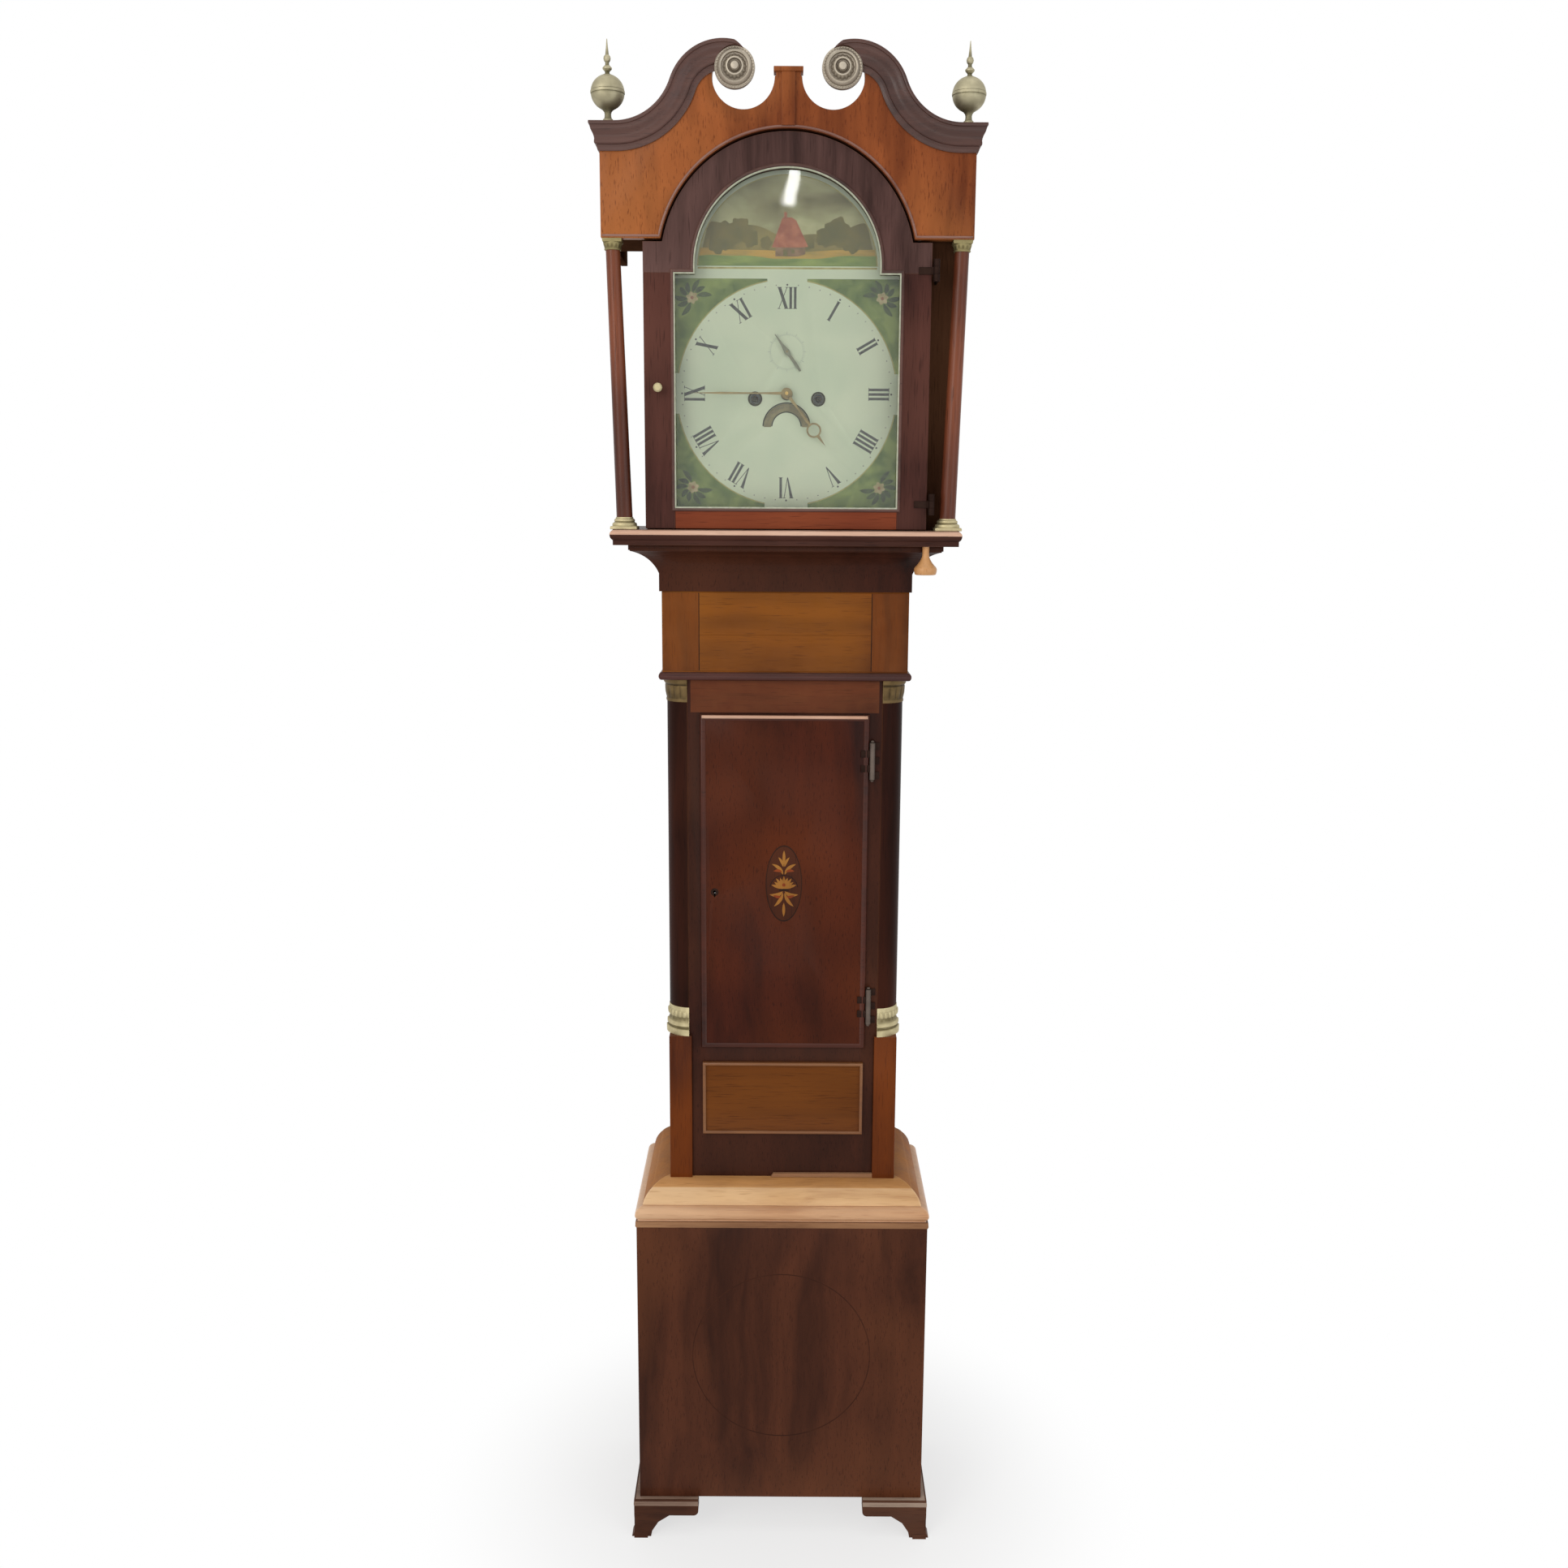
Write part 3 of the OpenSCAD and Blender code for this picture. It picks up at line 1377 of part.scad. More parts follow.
backboard();
base_panels();
base_moulding();
bracket_feet();
trunk_sides();
trunk_frame();
lower_panel();
corner_plinths();
quarter_columns();
column_mounts();
trunk_frieze();
trunk_cove();
trunk_hinge_plates();
seatboard();
dial_plate();
movement_frame();
bell();
hood_base();
hood_carcass();
hood_frieze();
swan_necks();
rosettes();
finials();
hood_pillars();
pillar_mounts();
dial_mask();
hood_pull();
hood_hinge_plates();
hood_door_frame();
hood_glass();
hood_door_knob();
hood_door_hinges();
trunk_door();
door_inlay();
trunk_lock();
lock_bolt();
trunk_door_hinges();
going_great_wheel();
going_barrel();
going_pulley();
going_weight();
going_line();
strike_great_wheel();
strike_barrel();
strike_pulley();
strike_weight();
strike_line();
centre_wheel();
third_wheel();
escape_wheel();
anchor();
pendulum();
minute_hand();
minute_wheel();
hour_hand();
hammer();
date_disc();
pin_wheel();
pallet_wheel();
strike_fly();
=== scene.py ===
"""Longcase clock: finishes, carved and turned detail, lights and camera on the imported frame.

The frame is in metres, with X to the viewer's right, Y to the back and Z up. The shapes here are
given in millimetres of the same frame.
"""
import logging
from dataclasses import dataclass, field
from enum import Enum
from math import acos, asin, atan2, cos, degrees, hypot, pi, radians, sin, sqrt
from typing import Callable, Iterable, Mapping, Optional, Sequence, Union

import bmesh
import bpy
from bpy.types import Material, Node, NodeInputs, NodeSocket, NodeTree, Object
from mathutils import Matrix, Vector

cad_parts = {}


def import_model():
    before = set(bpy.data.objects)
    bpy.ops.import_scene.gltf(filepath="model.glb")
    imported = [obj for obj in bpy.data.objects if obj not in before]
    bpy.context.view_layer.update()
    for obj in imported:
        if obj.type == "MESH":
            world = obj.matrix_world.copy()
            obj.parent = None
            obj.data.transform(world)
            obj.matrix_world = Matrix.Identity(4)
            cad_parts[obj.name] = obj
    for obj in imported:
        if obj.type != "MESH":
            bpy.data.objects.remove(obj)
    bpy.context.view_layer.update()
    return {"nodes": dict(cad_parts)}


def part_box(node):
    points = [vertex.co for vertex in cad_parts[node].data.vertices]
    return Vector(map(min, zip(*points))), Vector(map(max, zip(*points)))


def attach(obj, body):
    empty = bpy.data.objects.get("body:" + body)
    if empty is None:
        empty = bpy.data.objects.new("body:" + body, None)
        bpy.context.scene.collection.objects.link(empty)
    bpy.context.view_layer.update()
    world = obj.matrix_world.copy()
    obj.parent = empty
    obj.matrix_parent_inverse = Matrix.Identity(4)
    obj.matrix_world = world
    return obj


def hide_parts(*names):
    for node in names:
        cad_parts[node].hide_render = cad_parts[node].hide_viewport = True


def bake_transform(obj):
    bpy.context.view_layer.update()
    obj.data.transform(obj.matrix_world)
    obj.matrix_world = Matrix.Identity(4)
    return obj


LOG = logging.getLogger("clock")
MM = 0.001

Point2 = tuple[float, float]
Point3 = tuple[float, float, float]
Box = tuple[float, float, float, float]
Colour = tuple[float, float, float]
Line = list[Point2]
Sockets = Mapping[Union[str, int], object]

SIDES = ((1, "right"), (-1, "left"))

# Planes and centres that several sub-assemblies share, in millimetres
DIAL_Z = 1807.0
DIAL_FRONT = -84.0
ARCH_Z = 1976.0
FRIEZE_FRONT = -122.0
DOOR_FRONT = -118.0
DOOR_BACK = -98.0
WINDING_X = 45.0
WINDING_Z = DIAL_Z - 7
SECONDS_Z = DIAL_Z + 58
DATE_Z = DIAL_Z - 46


def srgb(code: str) -> Colour:
    """Linear colour of a hexadecimal sRGB code.

    Args:
        code: Six hexadecimal digits.

    Returns:
        The three linear channels.
    """
    out = []
    for i in (0, 2, 4):
        c = int(code[i:i + 2], 16) / 255
        out.append(c / 12.92 if c <= 0.04045 else ((c + 0.055) / 1.055) ** 2.4)
    return out[0], out[1], out[2]


def rgba(code: str) -> tuple[float, float, float, float]:
    """Opaque linear colour of a hexadecimal sRGB code."""
    return (*srgb(code), 1)


def add_object(name: str, data: bpy.types.ID) -> Object:
    """Puts data into the scene.

    Args:
        name: Name of the object.
        data: What it shows.

    Returns:
        The new object.
    """
    obj = bpy.data.objects.new(name, data)
    bpy.context.scene.collection.objects.link(obj)
    return obj


# ---------------------------------------------------------------- node trees

class Graph:
    """A node tree, with short ways to add the nodes that the finishes use."""

    def __init__(self, tree: NodeTree) -> None:
        """Works on the tree."""
        self.tree = tree

    def fill(self, node: Node, sockets: Sockets) -> None:
        """Sets a node's inputs.

        Args:
            node: The node.
            sockets: Input names or numbers, each with its value or with the output that feeds it.
        """
        for key, value in sockets.items():
            if isinstance(value, NodeSocket):
                self.tree.links.new(value, node.inputs[key])
            else:
                node.inputs[key].default_value = value

    def add(self, kind: str, sockets: Sockets, **settings: object) -> Node:
        """Adds a node.

        Args:
            kind: Type of the node.
            sockets: Its inputs, as fill takes them.
            **settings: Its own settings.

        Returns:
            The node.
        """
        node = self.tree.nodes.new(kind)
        for name, value in settings.items():
            setattr(node, name, value)
        self.fill(node, sockets)
        return node

    def place(self) -> NodeSocket:
        """Object coordinates."""
        return self.add("ShaderNodeTexCoord", {}).outputs["Object"]

    def vector(self, operation: str, *values: object) -> NodeSocket:
        """Outcome of one sum of vectors."""
        return self.add("ShaderNodeVectorMath", dict(enumerate(values)), operation=operation).outputs[0]

    def sum(self, operation: str, *values: object, clamp: bool = False) -> NodeSocket:
        """Outcome of one sum of numbers."""
        return self.add("ShaderNodeMath", dict(enumerate(values)), operation=operation, use_clamp=clamp).outputs[0]

    def noise(self, at: NodeSocket, scale: object, detail: float, **more: float) -> Node:
        """Noise at a vector; more names its other inputs."""
        return self.add("ShaderNodeTexNoise", {"Vector": at, "Scale": scale, "Detail": detail, **more})

    def span(self, value: NodeSocket, low: float = 0.0, high: float = 1.0, to_low: float = 0.0,
             to_high: float = 1.0) -> NodeSocket:
        """A value stretched from low..high to to_low..to_high, and held at the ends."""
        return self.add("ShaderNodeMapRange", {"Value": value, "From Min": low, "From Max": high, "To Min": to_low,
                                               "To Max": to_high}).outputs["Result"]

    def blend(self, share: NodeSocket, first: object, second: object) -> NodeSocket:
        """A colour between two."""
        return self.add("ShaderNodeMix", {0: share, 6: first, 7: second}, data_type="RGBA").outputs[2]

    def bump(self, height: NodeSocket, strength: float, distance: float) -> NodeSocket:
        """Normal of a surface with the height on it."""
        return self.add("ShaderNodeBump", {"Height": height, "Strength": strength,
                                           "Distance": distance}).outputs["Normal"]


def start_group(name: str, kind: str, inputs: Iterable[tuple[str, str, object]],
                outputs: Iterable[tuple[str, str]]) -> tuple[Graph, NodeInputs, Node]:
    """An empty node group.

    Args:
        name, kind: Its name and its type of tree.
        inputs: Label, type and value of each input; a value of None is left out.
        outputs: Label and type of each output.

    Returns:
        The group's graph, the sockets that it is given, and the node that gives its outputs.
    """
    tree = bpy.data.node_groups.new(name, kind)
    for label, socket, value in inputs:
        made = tree.interface.new_socket(label, in_out="INPUT", socket_type=f"NodeSocket{socket}")
        if value is not None:
            made.default_value = value
    for label, socket in outputs:
        tree.interface.new_socket(label, in_out="OUTPUT", socket_type=f"NodeSocket{socket}")
    return Graph(tree), tree.nodes.new("NodeGroupInput").outputs, tree.nodes.new("NodeGroupOutput")


# ---------------------------------------------------------------- shader groups

class Grain(Enum):
    """Direction that a board's fibres run in."""

    UPRIGHT = (1.0, 1.0, 0.045)
    ACROSS = (0.045, 1.0, 1.0)
    FLAME = (1.0, 1.0, 0.16)


BLACK, WHITE = (0, 0, 0, 1), (1, 1, 1, 1)


class ShaderGroups:
    """Node groups that several materials share."""

    def __init__(self) -> None:
        """Makes the three groups."""
        self.grain = self._grain()
        self.wear = self._wear()
        self.dust = self._dust()

    def _grain(self) -> NodeTree:
        """Fibres, figure and pores of polished wood.

        Returns:
            The group.
        """
        g, given, out = start_group(
            "WoodGrain", "ShaderNodeTree",
            [("Run", "Vector", (1.0, 1.0, 0.05)), ("Dark", "Color", BLACK), ("Mid", "Color", BLACK),
             ("Light", "Color", BLACK), ("Scale", "Float", 60.0), ("Figure", "Float", 0.5)],
            [("Color", "Color"), ("Height", "Float"), ("Shade", "Float")])
        place = g.place()
        run = g.vector("MULTIPLY", place, given["Run"])
        bend = g.noise(place, 5.0, 2.0).outputs["Color"]
        bent = g.vector("MULTIPLY_ADD", bend, (0.035, 0.035, 0.035), run)
        fibre = g.noise(bent, given["Scale"], 9.0, Roughness=0.62).outputs["Fac"]
        figure = g.noise(bent, 11.0, 4.0, Distortion=1.6).outputs["Fac"]
        cloud = g.noise(place, 3.1, 2.0).outputs["Fac"]
        shade = g.add("ShaderNodeMix", {0: given["Figure"], 2: g.span(fibre, 0.32, 0.68),
                                        3: g.span(figure, 0.35, 0.65)}, data_type="FLOAT").outputs[0]
        low = g.blend(shade, given["Dark"], given["Mid"])
        high = g.blend(g.span(cloud, 0.45, 0.75), low, given["Light"])
        pit = g.span(g.noise(run, 620.0, 1.0).outputs["Fac"], 0.60, 0.72)
        g.fill(out, {"Color": g.blend(g.sum("MULTIPLY", pit, 0.5), high, given["Dark"]),
                     "Height": g.sum("SUBTRACT", fibre, pit), "Shade": shade})
        return g.tree

    def _wear(self) -> NodeTree:
        """Rubbed edges: the finish is paler where the surface turns outward.

        Returns:
            The group.
        """
        g, given, out = start_group(
            "EdgeWear", "ShaderNodeTree",
            [("Color", "Color", BLACK), ("Bare", "Color", WHITE), ("Amount", "Float", 0.5), ("Reach", "Float", 0.002)],
            [("Color", "Color"), ("Mask", "Float")])
        turn = g.add("ShaderNodeAmbientOcclusion", {"Distance": given["Reach"]}, inside=True, only_local=True,
                     samples=6)
        patch = g.noise(g.place(), 42.0, 5.0).outputs["Fac"]
        both = g.sum("MULTIPLY", g.span(turn.outputs["AO"], 0.85, 0.45), patch)
        mask = g.sum("MULTIPLY", both, given["Amount"], clamp=True)
        g.fill(out, {"Color": g.blend(mask, given["Color"], given["Bare"]), "Mask": mask})
        return g.tree

    def _dust(self) -> NodeTree:
        """Pale dust that lies on upward faces.

        Returns:
            The group.
        """
        g, given, out = start_group("Dust", "ShaderNodeTree", [("Color", "Color", BLACK), ("Amount", "Float", 0.3)],
                                    [("Color", "Color"), ("Mask", "Float")])
        normal = g.add("ShaderNodeNewGeometry", {}).outputs["Normal"]
        up = g.add("ShaderNodeSeparateXYZ", {0: normal}).outputs["Z"]
        patch = g.noise(g.place(), 30.0, 6.0).outputs["Fac"]
        both = g.sum("MULTIPLY", g.span(up, 0.45, 1.0), patch)
        mask = g.sum("MULTIPLY", both, given["Amount"], clamp=True)
        g.fill(out, {"Color": g.blend(mask, given["Color"], rgba("9a8c7c")), "Mask": mask})
        return g.tree


# ---------------------------------------------------------------- finishes

@dataclass(frozen=True)
class Finish:
    """What every finish has.

    Attributes:
        name: Name of its material.
    """

    name: str

    def dress(self, g: Graph, groups: ShaderGroups) -> Sockets:
        """Adds its nodes to a material and gives the inputs of the shader."""
        raise NotImplementedError


@dataclass(frozen=True)
class Wood(Finish):
    """Polished or bare wood, with rubbed edges and a little dust.

    Attributes:
        dark, mid, light: sRGB codes of the fibres.
        grain: Direction of the fibres.
        figure: Share of wide figure against fine fibre, 0 to 1.
        rough: Roughness of the polish.
        coat: Strength of the polish's clear coat.
        wear: sRGB code of the rubbed edges.
        rub: How far the edges are rubbed, 0 to 1.
        gloss: Strength of the reflection under the coat.
    """

    dark: str
    mid: str
    light: str
    grain: Grain = Grain.UPRIGHT
    figure: float = 0.45
    rough: float = 0.42
    coat: float = 0.05
    wear: str = "8a5530"
    rub: float = 0.35
    gloss: float = 0.06

    def dress(self, g: Graph, groups: ShaderGroups) -> Sockets:
        """Adds the wood's nodes.

        Args:
            g: The material's graph.
            groups: The node groups that materials share.

        Returns:
            Inputs of the shader.
        """
        grain = g.add("ShaderNodeGroup", {"Run": self.grain.value, "Dark": rgba(self.dark), "Mid": rgba(self.mid),
                                          "Light": rgba(self.light), "Scale": 70.0, "Figure": self.figure},
                      node_tree=groups.grain).outputs
        worn = g.add("ShaderNodeGroup", {"Color": grain["Color"], "Bare": rgba(self.wear), "Amount": self.rub},
                     node_tree=groups.wear).outputs["Color"]
        dusty = g.add("ShaderNodeGroup", {"Color": worn, "Amount": 0.15}, node_tree=groups.dust).outputs["Color"]
        return {"Base Color": dusty,
                "Roughness": g.span(grain["Shade"], to_low=self.rough - 0.07, to_high=self.rough + 0.12),
                "Normal": g.bump(grain["Height"], 0.12, 0.0006),
                "Specular IOR Level": self.gloss, "Coat Weight": self.coat, "Coat Roughness": 0.18}


@dataclass(frozen=True)
class Metal(Finish):
    """Brass or steel that is dull in its hollows.

    Attributes:
        bright, dull: sRGB codes of raised places and of hollows.
        rough: Roughness.
        tarnish: How far the hollows are dulled, 0 to 1.
        scale: Stains per metre, roughly.
    """

    bright: str
    dull: str
    rough: float = 0.34
    tarnish: float = 0.5
    scale: float = 55.0

    def dress(self, g: Graph, groups: ShaderGroups) -> Sockets:
        """Adds the metal's nodes.

        Args:
            g: The material's graph.
            groups: The node groups that materials share.

        Returns:
            Inputs of the shader.
        """
        patch = g.noise(g.place(), self.scale, 6.0).outputs["Fac"]
        shape = g.add("ShaderNodeNewGeometry", {}).outputs["Pointiness"]
        soil = g.sum("MULTIPLY_ADD", patch, 0.9, g.span(shape, 0.52, 0.44))
        tone = g.span(soil, 0.35, 1.3, 0.0, self.tarnish * 2)
        return {"Base Color": g.blend(tone, rgba(self.bright), rgba(self.dull)),
                "Roughness": g.span(patch, to_low=self.rough - 0.08, to_high=self.rough + 0.22),
                "Normal": g.bump(patch, 0.1, 0.0004), "Metallic": 0.92}


@dataclass(frozen=True)
class Paint(Finish):
    """Hand-laid oil paint or enamel in two mottled tones.

    Attributes:
        first, second: sRGB codes of the tones.
        scale: Mottles per metre, roughly.
        rough: Roughness.
        stretch: How the mottling is squeezed along each axis.
    """

    first: str
    second: str
    scale: float = 60.0
    rough: float = 0.42
    stretch: Point3 = (1.0, 1.0, 1.0)

    def dress(self, g: Graph, groups: ShaderGroups) -> Sockets:
        """Adds the paint's nodes.

        Args:
            g: The material's graph.
            groups: The node groups that materials share.

        Returns:
            Inputs of the shader.
        """
        run = g.vector("MULTIPLY", g.place(), self.stretch)
        patch = g.noise(run, self.scale, 6.0, Distortion=0.4).outputs["Fac"]
        return {"Base Color": g.blend(g.span(patch, 0.36, 0.66), rgba(self.first), rgba(self.second)),
                "Normal": g.bump(patch, 0.06, 0.0003), "Roughness": self.rough}


@dataclass(frozen=True)
class Glass(Finish):
    """Old window glass: clear, with slow waves in it."""

    def dress(self, g: Graph, groups: ShaderGroups) -> Sockets:
        """Adds the glass's nodes.

        Args:
            g: The material's graph.
            groups: The node groups that materials share.

        Returns:
            Inputs of the shader.
        """
        wave = g.noise(g.place(), 9.0, 1.0).outputs["Fac"]
        return {"Base Color": g.blend(wave, (0.98, 0.985, 0.975, 1), (0.99, 0.995, 0.985, 1)),
                "Normal": g.bump(wave, 0.25, 0.002), "Roughness": 0.02, "IOR": 1.45, "Transmission Weight": 1.0}


class MaterialBook:
    """Makes the material of each finish once."""

    def __init__(self) -> None:
        """Starts with no material made."""
        self.groups = ShaderGroups()
        self.made: dict[str, Material] = {}

    def material(self, finish: Finish) -> Material:
        """The material of a finish.

        Args:
            finish: The finish.

        Returns:
            Its material, made at the first call.
        """
        if finish.name not in self.made:
            mat = bpy.data.materials.new(finish.name)
            mat.use_nodes = True
            g = Graph(mat.node_tree)
            g.fill(mat.node_tree.nodes["Principled BSDF"], finish.dress(g, self.groups))
            self.made[finish.name] = mat
        return self.made[finish.name]


TRUNK = Wood("trunk_mahogany", "1c0d09", "422117", "56301f", Grain.FLAME, 0.5)
COLUMN = Wood("column_mahogany", "180b07", "341810", "462216", Grain.UPRIGHT, 0.5, coat=0.02, gloss=0.04)
DOOR = Wood("door_mahogany", "240e08", "4c2013", "683016", Grain.FLAME, 0.7)
LIP = Wood("lip_mahogany", "28110b", "4a2216", "5c2c1c", Grain.ACROSS, 0.4, 0.36, 0.1, "6a3626", 0.3, gloss=0.15)
HEAD = Wood("head_mahogany", "30140c", "5e2c1a", "743c24", Grain.ACROSS, 0.7)
BASE = Wood("base_veneer", "341a10", "58301f", "6c3e26", Grain.FLAME, 0.7)
FEET = Wood("foot_mahogany", "2c1812", "523020", "624030", Grain.ACROSS, 0.4)
# Pale top edge of the feet: painted highlight
FOOT_EDGE_HIGHLIGHT = Wood("foot_edge_highlight", "5e4436", "967a68", "b09a88", Grain.ACROSS, 0.4, rub=0.0, gloss=0.3)
# The base moulding's zones carry painted light: the slope and the bead are lighter as painted highlights, the shoulder
# and the side returns darker as painted shade, and the strip under the bead darker as painted shadow; the trunk's foot
# bead uses that strip's tone too.
HONEY = Wood("honey_mahogany", "b98553", "e6b983", "f6d2a4", Grain.ACROSS, 0.4, 0.34, 0.3, "f8dcb4", 0.5, gloss=0.2)
HONEY_TOP_SHADE = Wood("honey_top_shade", "8a5a2a", "cb9052", "dea468", Grain.ACROSS, 0.5, 0.4, 0.1, "e8b880", 0.5)
HONEY_BEAD_HIGHLIGHT = Wood("honey_bead_highlight", "b07c56", "dcaa7e", "f0c8a0", Grain.ACROSS, 0.4, 0.34, 0.2, "ffe0c4", 0.4, gloss=0.15)
HONEY_UNDER = Wood("honey_under", "74503a", "a87a56", "bc8e68", Grain.ACROSS, 0.4, 0.4, 0.0)
HONEY_SIDE_SHADE = Wood("honey_side_shade", "744018", "b06f36", "c08348", Grain.UPRIGHT, 0.5, 0.5, 0.0, "c89458", 0.3)
GOLDEN = Wood("golden_mahogany", "3e1c08", "844812", "a8641a", Grain.ACROSS, 0.8)
CROSSBAND = Wood("crossband_mahogany", "42200a", "783c12", "925019", Grain.UPRIGHT, 0.65)
PANEL = Wood("panel_mahogany", "44200a", "6e3a14", "824a1a", Grain.ACROSS, 0.6)
PLINTH = Wood("plinth_mahogany", "321308", "6a3111", "824014", Grain.UPRIGHT, 0.5)
FRIEZE = Wood("frieze_mahogany", "4e2010", "9c542c", "cc8046", Grain.FLAME, 0.8, 0.4, 0.06, "b9805a")
# Dark dull lining of the frieze arch and ring behind the door's head: painted shade
SOFFIT_SHADE = Wood("soffit_shade", "2a140c", "4a2818", "5a3220", Grain.FLAME, 0.5, 0.7, 0.0, rub=0.0, gloss=0.0)
HOOD = Wood("hood_mahogany", "25130f", "522f29", "643d33", Grain.UPRIGHT, 0.45)
# Lighter, greyer copy of the hood's mahogany for the door's arched head: painted sheen
HOOD_ARCH_SHEEN = Wood("arch_sheen_mahogany", "2f1f1c", "5f433e", "735650", Grain.UPRIGHT, 0.4, gloss=0.05)
CARCASS = Wood("carcass_mahogany", "2c1a12", "553625", "664530", Grain.UPRIGHT, 0.45, 0.7, 0.0, gloss=0.0)
FRIEZE_BEAD = Wood("frieze_bead", "2c1410", "522820", "66382c", Grain.ACROSS, 0.4, 0.36, 0.15, "7c5040", 0.5, gloss=0.2)
HOOD_RAIL = Wood("rail_mahogany", "421a10", "803c26", "984e2e", Grain.ACROSS, 0.55)
CORNICE = Wood("cornice_mahogany", "2e1a16", "5a3a31", "745046", Grain.ACROSS, 0.4, 0.36, 0.15, "7a5244", 0.3,
               gloss=0.3)
HOOD_BASE = Wood("hood_base_mahogany", "1e0f0c", "45271f", "56342a", Grain.ACROSS, 0.45)
PILLAR = Wood("pillar_mahogany", "34180f", "6a3420", "84482e", Grain.UPRIGHT, 0.35, 0.34, 0.12, gloss=0.2)
PINE = Wood("backboard_pine", "3d2817", "6f5233", "8d6c48", Grain.UPRIGHT, 0.4, 0.62, 0.0, "9c8060")
SEAT = Wood("seatboard_pine", "4a331d", "82643f", "a08258", Grain.ACROSS, 0.4, 0.6, 0.0, "9c8060")
BEECH = Wood("pull_beech", "b0743c", "d99d62", "e8b47c", Grain.UPRIGHT, 0.3, 0.4, 0.2, "ecc090", gloss=0.3)
INLAY_BASE = Wood("inlay_ground", "260f08", "44200f", "582c18", Grain.UPRIGHT, 0.4, rub=0.0)
INLAY_GOLD = Wood("inlay_satinwood", "744316", "a0682e", "b47c3a", Grain.UPRIGHT, 0.4, rub=0.0)
INLAY_DARK = Wood("inlay_ebony", "0d0706", "1c100c", "261812", Grain.UPRIGHT, 0.4, rub=0.0)
INLAY_RED = Wood("inlay_padauk", "5a2010", "86381a", "9c4c24", Grain.UPRIGHT, 0.4, rub=0.0)
EDGE_RED = Wood("edge_mahogany", "6a4034", "94695a", "a88070", Grain.ACROSS, 0.3, 0.34, 0.2, rub=0.0, gloss=0.3)
# Pale strips on rounded edges: painted highlights
EDGE_HIGHLIGHT = Wood("highlight_edge", "b08468", "d8a88c", "ecc8b0", Grain.ACROSS, 0.3, 0.36, 0.2, rub=0.0, gloss=0.3)
EDGE_BEAD = Wood("edge_bead", "5a3014", "7e4c26", "946236", Grain.ACROSS, 0.3, 0.36, 0.2, rub=0.0, gloss=0.3)
RING = Wood("veneer_ring", "2c150c", "4a2718", "58311f", Grain.ACROSS, 0.4, rub=0.0)
GILT = Metal("aged_gilt", "c2b690", "6e6346", 0.5, 0.5, 70.0)
FINIAL = Metal("finial_brass", "b2aa8e", "5e583f", 0.5, 0.5, 60.0)
BRONZE = Metal("capital_bronze", "958a62", "4c4228", 0.5, 0.5, 70.0)
DARK_BRONZE = Metal("column_bronze", "705c3c", "30261a", 0.5, 0.5, 60.0)
GILT_PALE = Metal("rosette_brass", "b4aa9a", "80766a", 0.5, 0.4, 70.0)
BRASS = Metal("movement_brass", "d0b068", "8a6d38", 0.3, 0.35)
HAND = Metal("hand_brass", "94855c", "5e5438", 0.45, 0.4, 120.0)
STEEL = Metal("bright_steel", "b4b3b0", "6c6a67", 0.32, 0.4)
HINGE = Metal("hinge_steel", "665a52", "2e2622", 0.5, 0.6)
HINGE_DARK = Metal("hinge_bronze", "30201a", "180e0a", 0.6, 0.6)
# Dark metal of the rims; also the winding squares' ends, darkened as painted shade
COLLET_AND_SHADE = Metal("collet_bronze_and_shade", "40402f", "20201a", 0.5, 0.5, 120.0)
ENAMEL = Paint("dial_enamel", "c9d3b5", "bfccae", 14.0, 0.4)
DISC = Paint("date_enamel", "8e865c", "625a38", 60.0, 0.4)
# Ink of the numerals; also the dark ring behind the winding holes, as painted shade
INK_AND_SHADE = Paint("numeral_ink_and_shade", "343833", "4e534a", 240.0, 0.5)
SECONDS = Paint("seconds_blade", "6a6e58", "7e826c", 120.0, 0.5)
FAINT = Paint("faded_ink", "93a08c", "a6b09c", 200.0, 0.5)
GUT = Paint("gut_line", "cdb98c", "b39a68", 500.0, 0.5)
SPANDREL = Paint("spandrel_green", "48601f", "7c8e44", 38.0, 0.5)
SPANDREL_EDGE = Paint("spandrel_gold", "98904c", "b0aa6a", 120.0, 0.5)
LEAF = Paint("leaf_green", "2c3c18", "46582a", 130.0, 0.5)
PETAL = Paint("petal_cream", "b4a67c", "968a5c", 120.0, 0.5)
HEART = Paint("heart_ochre", "8a5a3c", "946a44", 120.0, 0.5)
SKY = Paint("arch_sky", "aeae7e", "645e30", 12.0, 0.5, (0.8, 1.0, 1.2))
HILL = Paint("arch_hill", "66602a", "847838", 26.0, 0.5)
TREE = Paint("arch_tree", "58561e", "706628", 40.0, 0.5)
MEADOW = Paint("arch_meadow", "667f38", "8a9c4a", 50.0, 0.5, (0.4, 1.0, 1.8))
FIELD = Paint("arch_field", "bc9434", "98843a", 70.0, 0.5, (0.3, 1.0, 2.0))
ROOF = Paint("arch_roof", "8e4424", "b06a44", 60.0, 0.5)
WALL = Paint("arch_wall", "8a6c48", "6e5634", 110.0, 0.5)
PUTTY = Paint("glass_lip", "a8ac94", "c0c2ac", 160.0, 0.5)
GLASS = Glass("old_glass")


# ---------------------------------------------------------------- shapes, in millimetres

Relief = Callable[[float, float, float], float]


